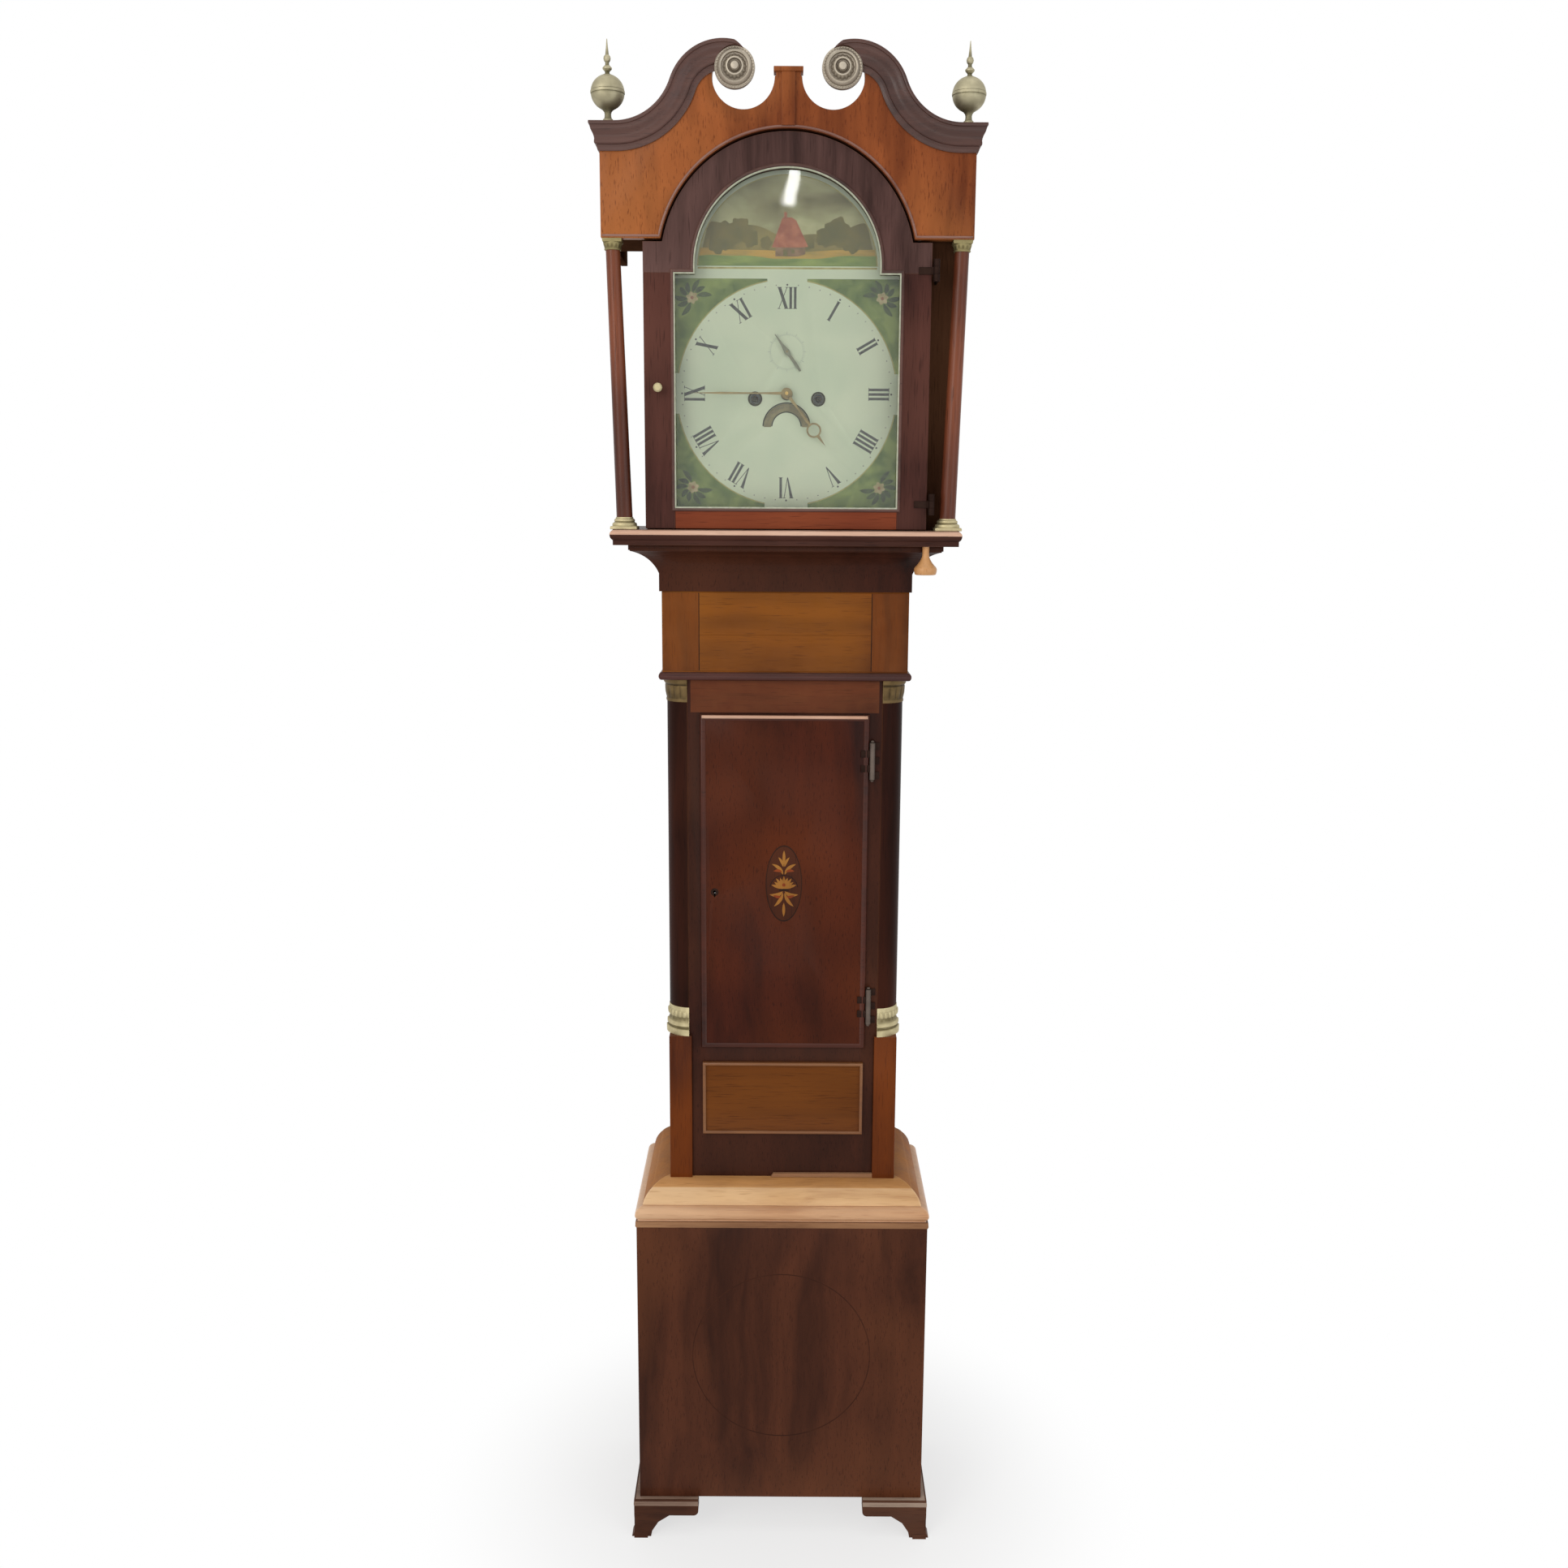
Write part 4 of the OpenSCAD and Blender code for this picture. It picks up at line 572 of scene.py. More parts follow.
def mesh(name: str, verts: Sequence[Point3], faces: Sequence[Sequence[int]], smooth: bool = False,
         weld: float = 0.0) -> Object:
    """An object from vertices and faces, with its faces turned outward.

    Args:
        name: Name of the object.
        verts: Its corners.
        faces: Corner numbers of each face.
        smooth: Whether all faces are shaded smooth.
        weld: Corners closer than this become one.

    Returns:
        The object.
    """
    data = bpy.data.meshes.new(name)
    bm = bmesh.new()
    vs = [bm.verts.new((x * MM, y * MM, z * MM)) for x, y, z in verts]
    for f in faces:
        ring = [vs[i] for i in f]
        if len(set(ring)) > 2:
            bm.faces.new(ring)
    if weld:
        bmesh.ops.remove_doubles(bm, verts=bm.verts, dist=weld * MM)
    bmesh.ops.recalc_face_normals(bm, faces=bm.faces)
    for f in bm.faces:
        f.smooth = smooth
    bm.to_mesh(data)
    bm.free()
    return add_object(name, data)


def soften(obj: Object, width: float, steps: int = 2) -> None:
    """Rounds the sharp edges of a new object for good.

    Args:
        obj: The object.
        width: Width of the rounding.
        steps: Faces across it.
    """
    mod = obj.modifiers.new("soften", "BEVEL")
    mod.width = width * MM
    mod.segments = steps
    mod.limit_method = "ANGLE"
    mod.angle_limit = radians(35)
    freeze(obj)


def freeze(obj: Object) -> None:
    """Turns an object's modifiers into its mesh.

    Args:
        obj: The object.
    """
    graph = bpy.context.evaluated_depsgraph_get()
    data = bpy.data.meshes.new_from_object(obj.evaluated_get(graph))
    obj.modifiers.clear()
    obj.data = data


def smooth(obj: Object, angle: float) -> None:
    """Smooth shading that stops at sharp edges.

    Args:
        obj: The object.
        angle: Edges sharper than this stay sharp, in degrees.
    """
    obj.data.shade_smooth()
    bm = bmesh.new()
    bm.from_mesh(obj.data)
    for e in bm.edges:
        e.smooth = not (len(e.link_faces) == 2 and e.calc_face_angle(0) > radians(angle))
    bm.to_mesh(obj.data)
    bm.free()


def lathe(name: str, profile: Sequence[Point2], origin: Point3, up: str = "Z", steps: int = 64,
          relief: Optional[Relief] = None, arc: Optional[Point2] = None) -> Object:
    """A turned piece.

    Args:
        name: Name of the object.
        profile: Radius and height pairs from one end to the other, both on the axis.
        origin: Where height 0 of the axis lies.
        up: "Z" for an upright axis, "-Y" for one that points to the viewer.
        steps: Steps round the axis.
        relief: Extra radius for an angle, a height and a radius.
        arc: First and last angle in degrees; a full turn if left out.

    Returns:
        The closed object.
    """
    verts: list[Point3] = []
    first, last = arc or (0.0, 360.0)
    cols = steps if arc is None else steps + 1
    for c in range(cols):
        a = radians(first + (last - first) * c / steps)
        for r, h in profile:
            q = max(0.0, r + (relief(a, h, r) if relief and r > 0 else 0.0))
            u, v = q * cos(a), q * sin(a)
            verts.append((origin[0] + u, origin[1] + v, origin[2] + h) if up == "Z" else
                         (origin[0] + u, origin[1] - h, origin[2] + v))
    n = len(profile)
    faces = [[c * n + i, (c + 1) % cols * n + i, (c + 1) % cols * n + i + 1, c * n + i + 1]
             for c in range(steps) for i in range(n - 1)]
    if arc is not None:
        faces += [list(range(n)), [(cols - 1) * n + i for i in range(n)][::-1]]
    obj = mesh(name, verts, faces, weld=0.001)
    bm = bmesh.new()
    bm.from_mesh(obj.data)
    bmesh.ops.dissolve_degenerate(bm, dist=1e-7, edges=bm.edges)
    bmesh.ops.recalc_face_normals(bm, faces=bm.faces)
    bm.to_mesh(obj.data)
    bm.free()
    smooth(obj, 32)
    return obj


def prisms(name: str, outlines: Sequence[Line], front: float, back: float, step: float = 0.0) -> Object:
    """Flat shapes in X and Z, each from the front plane to the back plane.

    Args:
        name: Name of the object.
        outlines: The shapes.
        front: Y of the first shape's face.
        back: Y of the backs.
        step: How far each shape lies over the one before it, where they overlap.

    Returns:
        The object.
    """
    verts: list[Point3] = []
    faces: list[list[int]] = []
    for i, line in enumerate(outlines):
        y = front - step * i
        area = sum(line[j - 1][0] * line[j][1] - line[j][0] * line[j - 1][1] for j in range(len(line)))
        pts = list(line) if area > 0 else list(line)[::-1]
        k, n = len(verts), len(pts)
        verts += [(x, y, z) for x, z in pts] + [(x, back, z) for x, z in pts]
        faces.append([k + j for j in range(n)])
        faces.append([k + n + j for j in range(n)][::-1])
        faces += [[k + j, k + n + j, k + n + (j + 1) % n, k + (j + 1) % n] for j in range(n)]
    return mesh(name, verts, faces)


def tube(name: str, path: Sequence[Point3], r: float, steps: int = 10, closed: bool = False) -> Object:
    """A round rod along a path.

    Args:
        name: Name of the object.
        path: Points of its centre line.
        r: Radius.
        steps: Faces round it.
        closed: Whether its ends meet.

    Returns:
        The closed object.
    """
    pts = [Vector(p) for p in path]
    n = len(pts)
    verts: list[Point3] = []
    side = None
    for i, p in enumerate(pts):
        a = pts[i - 1] if (i or closed) else p
        b = pts[(i + 1) % n] if (i < n - 1 or closed) else p
        t = (b - a).normalized()
        if side is None:
            side = t.orthogonal().normalized()
        side = (side - t * side.dot(t)).normalized()
        up = t.cross(side)
        for k in range(steps):
            q = 2 * pi * k / steps
            verts.append(tuple(p + r * (cos(q) * side + sin(q) * up)))
    faces = []
    for i in range(n if closed else n - 1):
        j = (i + 1) % n
        faces += [[i * steps + k, i * steps + (k + 1) % steps, j * steps + (k + 1) % steps, j * steps + k]
                  for k in range(steps)]
    if not closed:
        faces += [list(range(steps)), [(n - 1) * steps + k for k in range(steps)]]
    return mesh(name, verts, faces, smooth=True)


def joined(name: str, parts: Iterable[Object], weld: float = 0.0, smooth: bool = False) -> Object:
    """One object from several, which it uses up.

    Args:
        name: Name of the object.
        parts: The objects.
        weld: Corners closer than this become one.
        smooth: Whether all faces are shaded smooth.

    Returns:
        The new object.
    """
    bm = bmesh.new()
    for part in parts:
        bm.from_mesh(part.data)
        bpy.data.objects.remove(part)
    if weld:
        bmesh.ops.remove_doubles(bm, verts=bm.verts, dist=weld * MM)
    data = bpy.data.meshes.new(name)
    bm.to_mesh(data)
    bm.free()
    if smooth:
        data.shade_smooth()
    return add_object(name, data)


def framed(name: str, path: Sequence[Point2], profile: Sequence[Point2], face: float) -> Object:
    """A mitred bead round a closed path in a front plane.

    Args:
        name: Name of the object.
        path: Corners in X and Z, anticlockwise as the viewer sees them.
        profile: Distance outward and depth against face, as a closed ring.
        face: The plane's Y.

    Returns:
        The closed object.
    """
    n, k = len(path), len(profile)
    verts: list[Point3] = []
    for i in range(n):
        a, b, c = Vector(path[i - 1]), Vector(path[i]), Vector(path[(i + 1) % n])
        d0, d1 = (b - a).normalized(), (c - b).normalized()
        n0, n1 = Vector((d0[1], -d0[0])), Vector((d1[1], -d1[0]))
        m = (n0 + n1).normalized()
        m = m / max(0.5, m.dot(n0))
        verts += [(b[0] + m[0] * u, face + v, b[1] + m[1] * u) for u, v in profile]
    faces = [[i * k + j, i * k + (j + 1) % k, ((i + 1) % n) * k + (j + 1) % k, ((i + 1) % n) * k + j]
             for i in range(n) for j in range(k)]
    obj = mesh(name, verts, faces)
    smooth(obj, 38)
    return obj


def return_rows(profile: Sequence[Point2], half: float, front: float, back: float) -> list[list[Point3]]:
    """Rings of a moulding, given as (out, height), that crosses a carcass and returns along its sides to back."""
    return [[(sx * (half + out), back if end else front - out, z) for out, z in profile]
            for sx, end in ((-1, True), (-1, False), (1, False), (1, True))]


def grid(name: str, rows: Sequence[Sequence[Point3]], angle: float = 40.0) -> Object:
    """A skin over rings, closed at both ends.

    Args:
        name: Name of the object.
        rows: The rings, each with as many points as the next.
        angle: Edges sharper than this stay sharp, in degrees.

    Returns:
        The closed object.
    """
    n = len(rows[0])
    verts = [p for row in rows for p in row]
    faces = [[i * n + k, i * n + (k + 1) % n, (i + 1) * n + (k + 1) % n, (i + 1) * n + k]
             for i in range(len(rows) - 1) for k in range(n)]
    faces += [list(range(n)), [(len(rows) - 1) * n + k for k in range(n)]]
    obj = mesh(name, verts, faces)
    smooth(obj, angle)
    return obj


def box_line(x0: float, z0: float, x1: float, z1: float) -> Line:
    """Corners of an upright rectangle in the front plane."""
    return [(x0, z0), (x1, z0), (x1, z1), (x0, z1)]


def arc_points(cx: float, cz: float, r: float, a0: float, a1: float, n: int) -> Line:
    """Points on a circle from angle a0 to a1, in degrees."""
    return [(cx + r * cos(radians(a0 + (a1 - a0) * i / n)),
             cz + r * sin(radians(a0 + (a1 - a0) * i / n))) for i in range(n + 1)]


def band(cx: float, cz: float, r0: float, r1: float, a0: float = 0.0, a1: float = 360.0, n: int = 96) -> list[Line]:
    """A flat ring between two radii.

    Args:
        cx, cz: Its centre.
        r0, r1: Its inner and outer radius.
        a0, a1: Angles where it starts and ends, in degrees.
        n: Steps in a full turn.

    Returns:
        One outline, or two halves when the ring is closed.
    """
    parts = [(a0, a1)] if abs(a1 - a0) < 359 else [(a0, (a0 + a1) / 2), ((a0 + a1) / 2, a1)]
    out = []
    for p, q in parts:
        m = max(2, int(n * abs(q - p) / 360))
        line = arc_points(0, 0, r1, p, q, m) + arc_points(0, 0, r0, q, p, m)
        out.append([(cx + x, cz + z) for x, z in line])
    return out


def leaf(cx: float, cz: float, length: float, width: float, turn: float, bend: float = 0.0) -> Line:
    """A pointed leaf.

    Args:
        cx, cz: Where it starts.
        length, width: Its size.
        turn: Angle that it points along, in degrees.
        bend: How far that angle has turned at the tip.

    Returns:
        The outline.
    """
    left, right = [], []
    for i in range(9):
        t = i / 8
        w = width / 2 * sin(pi * t) ** 0.8 if 0 < i < 8 else 0.0
        a = radians(turn + bend * t)
        x, z = cx + length * t * cos(a), cz + length * t * sin(a)
        nx, nz = -sin(a), cos(a)
        left.append((x + w * nx, z + w * nz))
        if 0 < i < 8:
            right.append((x - w * nx, z - w * nz))
    return left + right[::-1]


def on_right(side: int, node: str) -> tuple[str, ...]:
    """The node that a pair stands in for, which its right piece names alone."""
    return (node,) if side > 0 else ()


class RingRepeat:
    """Geometry Nodes group that sets one item round a circle in the dial's plane."""

    def __init__(self) -> None:
        """Makes the group with its four inputs."""
        g, given, out = start_group(
            "RingRepeat", "GeometryNodeTree", [(label, kind, None) for label, kind in (
                ("Item", "Object"), ("Count", "Int"), ("Radius", "Float"), ("Material", "Material"))],
            [("Geometry", "Geometry")])
        ring = g.add("GeometryNodeMeshCircle", {"Vertices": given["Count"], "Radius": given["Radius"]})
        item = g.add("GeometryNodeObjectInfo", {"Object": given["Item"]}).outputs["Geometry"]
        each = g.add("GeometryNodeInstanceOnPoints", {"Points": ring.outputs["Mesh"], "Instance": item})
        turn = g.add("GeometryNodeTransform", {"Geometry": each.outputs["Instances"], "Rotation": (pi / 2, 0, 0)})
        real = g.add("GeometryNodeRealizeInstances", {"Geometry": turn.outputs["Geometry"]})
        paint = g.add("GeometryNodeSetMaterial", {"Geometry": real.outputs["Geometry"],
                                                  "Material": given["Material"]})
        g.fill(out, {"Geometry": paint.outputs["Geometry"]})
        self.tree = g.tree

    def make(self, name: str, item: Object, count: int, radius: float, centre: Point3, mat: Material) -> Object:
        """Real mesh of the repeated item.

        Args:
            name: Name of the new object.
            item: Small object round its own origin, with its axis along Z.
            count: How many.
            radius: Radius of the circle in millimetres.
            centre: Centre of the circle in millimetres.
            mat: Material of every copy.

        Returns:
            The new object, with no modifier left on it.
        """
        host = add_object(name, bpy.data.meshes.new(name))
        mod = host.modifiers.new("ring", "NODES")
        mod.node_group = self.tree
        keys = {s.name: s.identifier for s in self.tree.interface.items_tree if s.in_out == "INPUT"}
        mod[keys["Item"]] = item
        mod[keys["Count"]] = count
        mod[keys["Radius"]] = radius * MM
        mod[keys["Material"]] = mat
        freeze(host)
        host.data.transform(Matrix.Translation(Vector(centre) * MM))
        host.data.update()
        bpy.data.objects.remove(item)
        return host


def knob_item(r: float, h: float) -> Object:
    """A low dome round its own origin for a ring of repeats."""
    return lathe("item", [(0, 0), (r, 0), (r * 0.94, h * 0.45), (r * 0.6, h * 0.88), (0, h)], (0, 0, 0), steps=12)


class SmoothByAngle:
    """Geometry Nodes group: smooth faces, sharp edges above 35 degrees."""

    def __init__(self) -> None:
        """Makes the group."""
        g, given, out = start_group("SmoothByAngle", "GeometryNodeTree", [("Geometry", "Geometry", None)],
                                    [("Geometry", "Geometry")])
        angle = g.add("GeometryNodeInputMeshEdgeAngle", {}).outputs["Unsigned Angle"]
        over = g.add("FunctionNodeCompare", {0: angle, 1: radians(35)}, data_type="FLOAT",
                     operation="GREATER_THAN").outputs["Result"]
        faces = g.add("GeometryNodeSetShadeSmooth", {"Geometry": given[0]}, domain="FACE")
        edges = g.add("GeometryNodeSetShadeSmooth", {"Geometry": faces.outputs["Geometry"], "Selection": over,
                                                     "Shade Smooth": False}, domain="EDGE")
        g.fill(out, {0: edges.outputs["Geometry"]})
        self.tree = g.tree

    def soft_edges(self, obj: Object, width: float) -> None:
        """Rounded edges and smooth curves on a carried-over solid, as modifiers only.

        Args:
            obj: The solid.
            width: Width of the rounding, or 0 for none.
        """
        obj.modifiers.new("weld", "WELD").merge_threshold = 2e-6
        if width:
            flat = obj.modifiers.new("flat", "DECIMATE")
            flat.decimate_type = "DISSOLVE"
            flat.angle_limit = radians(0.5)
            mod = obj.modifiers.new("edges", "BEVEL")
            mod.width = width * MM
            mod.segments = 2
            mod.limit_method = "ANGLE"
            mod.angle_limit = radians(50)
        obj.modifiers.new("shade", "NODES").node_group = self.tree


# ---------------------------------------------------------------- the clock's pieces

@dataclass
class Workshop:
    """What every sub-assembly is made with.

    Attributes:
        book: The material book.
        nodes: The frame's solids by name.
        ring: The ring repeater.
        shade: The smoothing group.
        done: Names of the pieces that are finished.
    """

    book: MaterialBook
    nodes: dict[str, Object]
    ring: RingRepeat
    shade: SmoothByAngle
    done: list[str] = field(default_factory=list)


@dataclass
class SubAssembly:
    """A group of pieces that is built in one go.

    Attributes:
        shop: What it is made with.
    """

    shop: Workshop

    def build(self) -> None:
        """Makes, finishes and places its pieces."""
        raise NotImplementedError

    def finish_nodes(self, *rows: tuple[str, Finish, float]) -> None:
        """Gives carried-over solids their finish and soft edges.

        Args:
            *rows: Name of each node, its finish and the width of the rounding on its edges.
        """
        for name, finish, edge in rows:
            obj = self.shop.nodes[name]
            if not obj.material_slots:
                obj.data.materials.append(None)
            for s in obj.material_slots:
                s.material = self.shop.book.material(finish)
            self.shop.shade.soft_edges(obj, edge)
            self.shop.done.append(name)

    def dress(self, obj: Object, finish: Finish, slot: str, *replaced: str) -> None:
        """Gives a new piece its material and hides the nodes that it stands in for.

        Args:
            obj: The piece.
            finish: Its finish.
            slot: Name of its material slot; not used.
            *replaced: The nodes that it stands in for.
        """
        obj.data.materials.clear()
        obj.data.materials.append(self.shop.book.material(finish))
        if replaced:
            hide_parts(*replaced)
        self.shop.done.append(obj.name)

    def place(self, obj: Object, finish: Finish, body: str, slot: str, *replaced: str) -> None:
        """Dresses a new piece and sets it on a body."""
        self.dress(obj, finish, slot, *replaced)
        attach(obj, body)

    def pair(self, make: Callable[[int, str], Object], finish: Finish, body: str, slot: str,
             *replaced: str) -> None:
        """Places a right and a left piece, which make builds from a side, 1 or -1, and the side's name."""
        for side, name in SIDES:
            self.place(make(side, name), finish, body, slot, *(replaced if side > 0 else ()))


@dataclass
class CaseBody(SubAssembly):
    """Base, trunk and their mounts."""

    back: float = 129.0  # where the mouldings' side returns end
    base_front: float = -112.0
    base_half: float = 228.0
    trunk_front: float = -61.0
    trunk_half: float = 177.0
    frieze_front: float = -72.5
    frieze_half: float = 180.0
    frieze_low: float = 1409.0
    frieze_high: float = 1524.0
    frieze_joint: float = 1462.0
    crossband: float = 128.0  # half width between the upright ends of the frieze
    head: Point3 = (141.0, 1346.0, 1394.0)  # half width, lower and upper edge of the veneer over the door
    head_y: Point2 = (-66.5, -65.8)  # its face and back
    bead: Point3 = (1401.0, 4.6, 5.9)  # centre height, width and rise of the bead under the frieze
    bead_run: Point2 = (182.2, -72.2)  # half width and front of what it runs round
    panel: Box = (122.5, 680.5, 793.5, -73.0)  # half width, edges and front of its bead
    ring: Point3 = (318.0, 140.0, 141.8)  # centre height and radii of the ring in the base
    foot: Point2 = (133.4, -17.4)  # inner and back end of the feet's pale edge, a painted highlight
    hinge: Point2 = (131.5, -71.0)  # axis of the trunk hinges
    hinge_lows: Point2 = (860.0, 1246.0)  # lower ends of their barrels
    column: Point2 = (146.0, -34.0)  # axis of the quarter columns
    base_low: float = 838.0
    capital_low: float = 1361.0
    foot_bead: Box = (-18.0, 170.0, 603.9, 610.6)  # left, right, lower and upper edge
    foot_bead_y: Point2 = (-70.5, -64.0)  # its face and back

    def build(self) -> None:
        """Finishes every fixed wooden piece under the hood."""
        self.finish_nodes(
            ("backboard", PINE, 0.6), ("seatboard", SEAT, 0.6), ("base_panels", BASE, 1.2),
            ("bracket_feet", FEET, 1.0), ("trunk_sides", TRUNK, 0.6), ("trunk_frame", TRUNK, 0.6),
            ("lower_panel", PANEL, 0.8), ("corner_plinths", PLINTH, 1.0), ("quarter_columns", COLUMN, 0.0),
            ("trunk_frieze", GOLDEN, 0.6), ("trunk_cove", TRUNK, 0.5), ("trunk_hinge_plates", HINGE_DARK, 0.2))
        self._base_moulding()
        self._stringing()
        self._foot_edge()
        self._hinge_barrels()
        self._column_mounts()

    def _veneer(self, name: str, lines: Sequence[Line], finish: Wood, front: float, back: float,
                slot: str) -> None:
        """A thin sheet in the case's front, from its outlines and the Y of its face and back."""
        self.place(prisms(name, lines, front, back), finish, "case", slot)

    def _stringing(self) -> None:
        """Crossbanding of the frieze, the bead round the lower panel and the ring in the base veneer."""
        low, high, out, front, behind = (self.frieze_low, self.frieze_high, self.crossband, self.frieze_front,
                                         self.frieze_front + 0.7)
        mid = out - 1.2
        ends = [box_line(s * out, low, s * self.frieze_half, high) for s, _ in SIDES]
        self._veneer("frieze_ends", ends, CROSSBAND, front, behind, "golden_mahogany")
        leaves = [box_line(-mid, low, mid, self.frieze_joint), box_line(-mid, self.frieze_joint + 0.6, mid, high)]
        self._veneer("frieze_veneer", leaves, GOLDEN, front, behind, "golden_mahogany")
        joints = [box_line(s * mid, low, s * out, high) for s, _ in SIDES]
        self._veneer("frieze_joints", joints, INLAY_DARK, front + 0.1, behind, "inlay_wood")
        half, bottom, top = self.head
        self._veneer("head_veneer", [box_line(-half, bottom, half, top)], HEAD, *self.head_y, "dark_mahogany")
        self._frieze_bead()
        self._panel_bead()
        z, r0, r1 = self.ring
        self._veneer("base_ring", band(0, z, r0, r1), RING, self.base_front - 0.06, self.base_front + 0.1,
                     "inlay_wood")

    def _foot_edge(self) -> None:
        """The pale top edge of the front bracket feet: a painted highlight."""
        profile = [(0.0, 55.0), (9.2, 55.4), (9.5, 57.0), (9.5, 61.0), (8.6, 65.0), (6.0, 66.3), (0.0, 66.3)]

        def edge(side: int, name: str) -> Object:
            """One foot's edge, along its front and round its outer side.

            Args:
                side, name: The side's sign and name.

            Returns:
                The edge.
            """
            return grid(f"foot_edge_{name}", [
                [(side * self.foot[0], self.base_front - out, z) for out, z in profile],
                [(side * (self.base_half + out), self.base_front - out, z) for out, z in profile],
                [(side * (self.base_half + out), self.foot[1], z) for out, z in profile]], 30)
        self.pair(edge, FOOT_EDGE_HIGHLIGHT, "case", "base_mahogany")

    def _hinge_barrels(self) -> None:
        """Steel barrels with turned tips over the knuckles of the trunk hinges."""
        profile = [(0, -4), (2.0, -3.3), (2.9, -1.8), (2.2, -0.1), (4.2, 0.1), (4.2, 55.9), (2.2, 56.1), (2.9, 57.8),
                   (2.0, 59.3), (0, 60)]
        for low, name in zip(self.hinge_lows, ("lower", "upper")):
            obj = lathe(f"hinge_barrel_{name}", profile, (*self.hinge, low), steps=24)
            self.place(obj, HINGE, "case", "steel")

    def _base_moulding(self) -> None:
        """Sloped shoulder, rounded slope, full bead and the edge below it, mitred round three sides; the zones' tones
        carry painted light: highlights on the slope and bead, painted shade on the shoulder and side returns, painted
        shadow under the bead.
        """
        arc = [radians(a) for a in range(-60, 76, 12)]
        zones = (
            ("shoulder", HONEY_TOP_SHADE, [(-3, 594.2), (27.4, 594.2), (26.2, 595.6), (22, 598.4), (16, 601.4), (8, 603.4),
                                     (0, 604), (-3, 604)]),
            ("ovolo", HONEY, [(-3, 571), (41.4, 571), (41.2, 573.4), (39.2, 579.6), (36, 585.2), (31.8, 590.4),
                              (27.4, 594.2), (-3, 594.2)]),
            ("bead", HONEY_BEAD_HIGHLIGHT, [(-3, 547.6), (50, 547.6)]
             + [(42 + 11 * cos(a), 559 + 11 * sin(a)) for a in arc]
             + [(43.6, 570.2), (40.4, 570.4), (40.4, 571), (-3, 571)]),
            ("under", HONEY_UNDER, [(44, 538), (51.5, 538), (52.6, 541), (52.2, 547.6), (44, 547.6)]),
        )
        for zone, finish, profile in zones:
            rows = return_rows(profile, self.trunk_half, self.trunk_front, self.back)
            # The side returns of the shoulder and slope are darker: painted shade
            side = HONEY_SIDE_SHADE if zone in ("shoulder", "ovolo") else finish
            for name, part, tone in (("", rows[1:3], finish), ("_left", rows[:2], side), ("_right", rows[2:], side)):
                nodes = ("base_moulding",) if zone == "ovolo" and not name else ()
                obj = grid(f"base_{zone}{name}", part, 30)
                self.place(obj, tone, "case", "base_mahogany", *nodes)
        left, right, low, high = self.foot_bead
        line = [(left, low), (right, low), (right, high), (left + 4, high - 0.6)]
        self._veneer("trunk_foot_bead", [line], HONEY_UNDER, *self.foot_bead_y, "base_mahogany")

    def _frieze_bead(self) -> None:
        """The dark bead that ends the frieze below, mitred round both sides."""
        z, out, up = self.bead
        nose = [(0.6 + out * cos(radians(a)), z + up * sin(radians(a))) for a in range(-80, 81, 16)]
        obj = grid("frieze_bead", return_rows([(0, z - 6), *nose, (0, z + 6)], *self.bead_run, self.back), 30)
        self.place(obj, FRIEZE_BEAD, "case", "dark_mahogany")

    def _panel_bead(self) -> None:
        """The pale half-round that frames the lower panel."""
        half, low, high, face = self.panel
        profile = [(-2.4, 0.5), (-2.2, -0.9), (-1.1, -1.9), (0, -2.2), (1.1, -1.9), (2.2, -0.9), (2.4, 0.5)]
        obj = framed("panel_bead", box_line(-half, low, half, high), profile, face)
        self.place(obj, EDGE_BEAD, "case", "golden_mahogany")

    def _column_mounts(self) -> None:
        """Cast bases and capitals of the quarter columns, with leaves on the capitals."""
        base = [(0, 0), (37, 0), (37.2, 9.5), (36, 10), (34.6, 11), (34.6, 13), (36.2, 15), (36, 19), (33.6, 21),
                (32.4, 24), (32.4, 27.5), (33.5, 28.6), (34.6, 32), (34.2, 36.5), (32.9, 38.4), (32.6, 45), (0, 45)]
        cap = [(0, 0), (32.9, 0), (33.4, 2.4), (32.8, 5), (33, 8), (33.7, 14), (34.6, 20), (35.4, 23.5), (34.4, 25),
               (35.6, 27), (36.8, 28.6), (37.2, 34), (0, 34)]

        def beading(a: float, h: float, _r: float) -> float:
            """Small beads round the base's upper ring."""
            return 0.7 * cos(a * 28) if 28 < h < 37 else 0.0

        def leaves(a: float, h: float, _r: float) -> float:
            """Upright leaves on the capital's bell."""
            return 1.3 * abs(sin(a * 10)) * sin(pi * (h - 4) / 20) - 0.4 if 4 < h < 24 else 0.0
        x, y = self.column
        for side, name in SIDES:
            arc = (-90.0, 0.0) if side > 0 else (-180.0, -90.0)
            foot = lathe(f"column_base_{name}", base, (side * x, y, self.base_low), steps=60,
                         relief=beading, arc=arc)
            self.place(foot, GILT, "case", "gilt_brass", *on_right(side, "column_mounts"))
            top = lathe(f"column_capital_{name}", cap, (side * x, y, self.capital_low), steps=60,
                        relief=leaves, arc=arc)
            self.place(top, DARK_BRONZE, "case", "gilt_brass")


